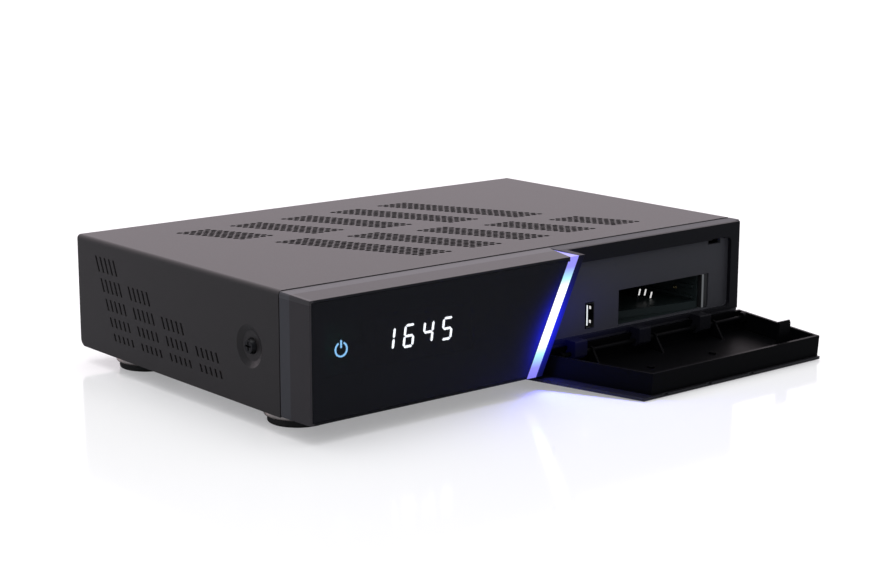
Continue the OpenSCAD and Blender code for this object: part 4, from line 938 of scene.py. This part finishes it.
@dataclass
class Dressing:
    """Gives every CAD node its finish."""

    casing: Casing
    line: LightLine
    nodes: dict[str, bpy.types.Object]

    def lit_parts(self) -> list[tuple[Finish, list[str]]]:
        """Finishes of what shines, glows or stands beside the light, with their nodes."""
        light = BarLight(self.casing, self.line)
        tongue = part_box("front_usb_tongue")[0].x
        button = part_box("eject_button")[0].x
        button_light = (0.1, 0.105, 0.11)
        return [
            (SmokedFront("smoked_front", light), ["front_glass"]),
            (FrontMoulding("front_moulding", light), ["front_bezel"]),
            (LitGuide("lit_guide", self.casing), ["light_guide"]),
            (LitMarkOrPaintedGlint("lit_digits", (0.9, 0.94, 1.0), 95.0), ["display_digits"]),
            (LitMarkOrPaintedGlint("lit_mark", (0.28, 0.62, 1.0), 68.0), ["power_mark"]),
            # Painted highlights: emission on one stretch of the eject button and of the socket's
            # tongue.
            (FlashLit("eject_plastic_painted_highlight", button + 0.2 * MM, button + 1.5 * MM, button_light),
             ["eject_button"]),
            (FlashLit("tongue_plastic_painted_highlight", tongue - MM, tongue + 1.6 * MM), ["front_usb_tongue"]),
        ]

    def metal_parts(self) -> list[tuple[Finish, list[str]]]:
        """Finishes of the coated, plated and bare metal, with their nodes."""
        even = (1, 1, 1)
        return [
            (PowderCoat("powder_coat"), ["top_cover"]),
            (PowderCoat("vent_coat", edge=0.0), ["vent_screens"]),
            (Metal("zinc_sheet", (0.55, 0.56, 0.58), 0.34, even, 0.004),
             ["chassis_base", "rear_panel"]),
            (Metal("bright_steel", (0.72, 0.72, 0.74), 0.22),
             ["latch_catch", "board_screws", "bezel_screws", "foot_screws", "aerial_nuts"]),
            (Metal("tinned_steel", (0.8, 0.8, 0.82), 0.2),
             ["rear_usb_shell", "hdmi_socket", "network_socket", "av_sockets", "tuner_cans",
              "inlet_pins"]),
            # Painted shade: the front socket's shell and the card contacts get a dark copy of bare
            # steel.
            (Metal("steel_in_painted_shade", (0.1, 0.1, 0.105), 0.4), ["front_usb_shell", "card_contacts"]),
            (Metal("black_screw", (0.05, 0.05, 0.052), 0.35, even), ["side_screws", "rear_screws"]),
            (Metal("gilt", (0.92, 0.72, 0.36), 0.24), ["aerial_sockets", "board_standoffs"]),
            (Metal("copper_chrome", (0.95, 0.84, 0.78), 0.3, even, 0.01), ["foot_rings"]),
            (Metal("extruded_alloy", (0.75, 0.76, 0.78), 0.32), ["heat_sink", "power_heat_sink"]),
        ]

    def other_parts(self) -> list[tuple[Finish, list[str]]]:
        """Finishes of plastic, rubber and circuit boards, with their nodes."""
        brown, brown_track = (0.2, 0.11, 0.035), (0.26, 0.16, 0.06)
        return [
            (Moulded("black_moulding", (0.012, 0.012, 0.014)),
             ["display_module", "infrared_eye", "main_chips", "power_capacitors"]),
            (Moulded("socket_black", (0.02, 0.02, 0.022), 0.34),
             ["rear_usb_tongue", "optical_socket", "mains_inlet", "rocker_frame", "power_rocker"]),
            (Moulded("flap_tray_black", (0.0025, 0.0025, 0.003), 0.4, 0.06),
             ["flap_tray", "hinge_rod"]),
            (Moulded("flap_skin_black", (0.015, 0.0145, 0.017), 0.22, 0.5, depth=0.000003),
             ["flap_face"]),
            (Moulded("cage_grey", (0.022, 0.032, 0.033), 0.45, 0.25), ["card_cage", "card_reader"]),
            (Moulded("pale_film", (0.6, 0.62, 0.64), 0.45),
             ["flat_cable", "insulating_sheet", "aerial_insulators"]),
            (Moulded("winding_tape", (0.5, 0.33, 0.05)), ["transformer"]),
            (Moulded("capacitor_sleeve", (0.02, 0.02, 0.09), 0.25), ["board_capacitors"]),
            (Moulded("insert_red", (0.55, 0.05, 0.03), 0.3), ["av_insulators"]),
            (CircuitBoard("green_board"),
             ["light_board", "front_board", "front_usb_board", "main_board"]),
            (CircuitBoard("brown_board", brown, brown_track), ["power_board"]),
            (Rubber("foot_rubber"), ["foot_pads"]),
        ]

    def build(self) -> None:
        """Puts each finish on its nodes."""
        for finish, names in self.lit_parts() + self.metal_parts() + self.other_parts():
            material = finish.build()
            for name in names:
                materials = self.nodes[name].data.materials
                materials.clear()
                materials.append(material)
                LOG.info("node %s: %s", name, finish.name)


@dataclass(frozen=True)
class Lamp:
    """One area lamp, in metres and watts."""

    name: str
    place: tuple
    target: tuple
    size: tuple
    power: float
    colour: tuple = (1, 1, 1)
    mirrored: bool = True

    def build(self) -> bpy.types.Object:
        """Adds the lamp, turned to its target and hidden from the camera."""
        data = bpy.data.lights.new(self.name, "AREA")
        data.shape = "RECTANGLE"
        data.size, data.size_y = self.size
        data.energy = self.power
        data.color = self.colour
        made = bpy.data.objects.new(self.name, data)
        bpy.context.scene.collection.objects.link(made)
        aim = Vector(self.target) - Vector(self.place)
        turn = aim.to_track_quat("-Z", "Y").to_matrix().to_4x4()
        made.matrix_world = Matrix.Translation(self.place) @ turn
        made.visible_camera = False
        made.visible_glossy = self.mirrored
        return made


@dataclass(frozen=True)
class Camera:
    """The photograph's camera: its place in casing millimetres and its angles in degrees."""

    casing: Casing
    lens: float = 79.29
    sensor: float = 36.0
    near: float = 0.01
    far: float = 50.0
    eye: tuple = (-481.2, -660.7, 239.1)
    yaw_deg: float = 39.905
    pitch_deg: float = -12.252
    roll_deg: float = 0.106

    def build(self) -> bpy.types.Object:
        """Adds the camera and makes it the scene's."""
        data = bpy.data.cameras.new("camera")
        data.sensor_fit = "HORIZONTAL"
        data.sensor_width = self.sensor
        data.lens = self.lens
        data.clip_start = self.near
        data.clip_end = self.far
        made = bpy.data.objects.new("camera", data)
        bpy.context.scene.collection.objects.link(made)
        yaw, pitch, roll = (math.radians(a) for a in (self.yaw_deg, self.pitch_deg, self.roll_deg))
        ahead = Vector((math.sin(yaw) * math.cos(pitch), math.cos(yaw) * math.cos(pitch),
                        math.sin(pitch)))
        right = ahead.cross(Vector((0, 0, 1))).normalized()
        up = right.cross(ahead)
        right, up = (right * math.cos(roll) + up * math.sin(roll),
                     up * math.cos(roll) - right * math.sin(roll))
        turn = Matrix((right, up, -ahead)).transposed().to_4x4()
        made.matrix_world = Matrix.Translation(self.casing.at(*self.eye)) @ turn
        bpy.context.scene.camera = made
        return made


@dataclass(frozen=True)
class Floor:
    """A wide glossy white floor that takes the shadow and a soft mirror image."""

    half: float = 6.0
    low: tuple = (0.84, 0.84, 0.855)
    high: tuple = (0.87, 0.87, 0.88)
    cloud: float = 0.3
    mirrored: tuple = (0.3, 0.31, 0.34)
    rough: float = 0.1
    gloss: float = 0.3
    lift: float = 0.31
    lift_colour: tuple = (1.0, 1.0, 1.02)

    def finish(self) -> bpy.types.Material:
        """White, lifted a little where the camera sees it and dimmer where a piece mirrors it."""
        made = Surface("floor_white")
        cloud = made.noise(self.cloud, 2.0)
        path = made.node("ShaderNodeLightPath")
        seen = Field(made.tree, path.outputs["Is Camera Ray"])
        mirror = Field(made.tree, path.outputs["Is Glossy Ray"])
        white = made.blend(cloud, self.low, self.high)
        made.set(Base_Color=made.blend(mirror, white, self.mirrored), Roughness=self.rough,
                 Specular_IOR_Level=self.gloss, Emission_Color=self.lift_colour,
                 Emission_Strength=seen * self.lift)
        return made.material

    def build(self) -> bpy.types.Object:
        """Adds the floor as part of the stage."""
        half = self.half
        data = bpy.data.meshes.new("floor")
        data.from_pydata([(-half, -half, 0), (half, -half, 0), (half, half, 0), (-half, half, 0)],
                         [], [(0, 1, 2, 3)])
        data.materials.append(self.finish())
        made = bpy.data.objects.new("floor", data)
        bpy.context.scene.collection.objects.link(made)
        return made


@dataclass(frozen=True)
class Surround:
    """A surround that is white where it is seen and softer for light.

    What shiny pieces mirror of it is bright behind the object and dim in front of it, as in a
    studio whose backdrop is lit and whose room is dark.
    """

    yaw_deg: float
    seen: tuple = (1.0, 1.0, 1.0)
    lit: tuple = (0.55, 0.55, 0.55)
    warm: tuple = (1.1, 0.985, 1.055)
    cool: tuple = (0.17, 0.19, 0.22)
    rise: float = 1.7
    start: float = 0.1

    def build(self) -> bpy.types.World:
        """Makes the world."""
        world = bpy.data.worlds.new("surround")
        bpy.context.scene.world = world
        world.use_nodes = True
        tree = world.node_tree
        tree.nodes.clear()
        output = tree.nodes.new("ShaderNodeOutputWorld")
        ground = tree.nodes.new("ShaderNodeBackground")
        path = tree.nodes.new("ShaderNodeLightPath")
        split = tree.nodes.new("ShaderNodeSeparateXYZ")
        tree.links.new(tree.nodes.new("ShaderNodeTexCoord").outputs["Generated"], split.inputs[0])
        east, north, _ = (Field(tree, out) for out in split.outputs)
        yaw = math.radians(self.yaw_deg)
        ahead = (east * math.sin(yaw) + north * math.cos(yaw)) * self.rise - self.start
        mirror = between(tree, ahead.highest(0.0).lowest(1.0), self.cool, self.warm)
        seen = Field(tree, path.outputs["Is Camera Ray"]).highest(
            Field(tree, path.outputs["Is Transmission Ray"]))
        plain = between(tree, seen, self.lit, self.seen)
        colour = between(tree, Field(tree, path.outputs["Is Glossy Ray"]), plain, mirror)
        feed(tree, ground.inputs["Color"], colour)
        feed(tree, output.inputs["Surface"], ground.outputs[0])
        return world


@dataclass
class Studio:
    """White floor and surround, soft lamps and the camera."""

    casing: Casing
    line: LightLine
    glow_z: float = 24.0
    glow_aside: float = 3.0
    glow_ahead: float = 3.0

    def lamps(self) -> list[Lamp]:
        """A broad lamp above, a weak one from the left front, and the glow of the light bar."""
        middle = self.casing.at(self.line.x_at(self.glow_z) + self.glow_aside, -self.glow_ahead,
                                self.glow_z)
        return [
            Lamp("above", (-0.1, 0.1, 1.3), (0, 0, 0), (1.6, 1.2), 9.0),
            Lamp("left_front", (-1.2, -1.0, 0.9), (0, 0, 0.03), (0.8, 0.8), 1.5),
            Lamp("bar_glow", middle, middle + Vector((0, -1, -0.35)), (0.004, 0.05), 0.06,
                 (0.08, 0.1, 1.0), mirrored=False),
        ]

    def build(self) -> None:
        """Builds the whole stage."""
        camera = Camera(self.casing)
        camera.build()
        Floor().build()
        Surround(camera.yaw_deg).build()
        for lamp in self.lamps():
            lamp.build()
        bpy.context.scene.view_settings.view_transform = "Standard"


def main() -> None:
    """Loads the frame, dresses it, builds the finer pieces and the stage."""
    logging.basicConfig(level=logging.INFO, format="%(name)s: %(message)s")
    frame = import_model()
    casing = Casing.from_frame()
    line = LightLine()
    Dressing(casing, line, frame["nodes"]).build()
    # steel is the dark steel in painted shade, used for the springs' posts.
    coat, steel, gilt = (bpy.data.materials[name] for name in ("vent_coat", "steel_in_painted_shade", "gilt"))
    # Painted glint: emission on the socket's contacts and the springs' tips, where the light glints.
    glint = LitMarkOrPaintedGlint("contact_painted_glint", (0.85, 0.83, 0.8), 0.85).build()
    TopVents(casing, coat).build()
    SocketContacts(casing, glint).build()
    SlotTrim(casing, steel, glint, gilt).build()
    Studio(casing, line).build()


if __name__ == "__main__":
    main()
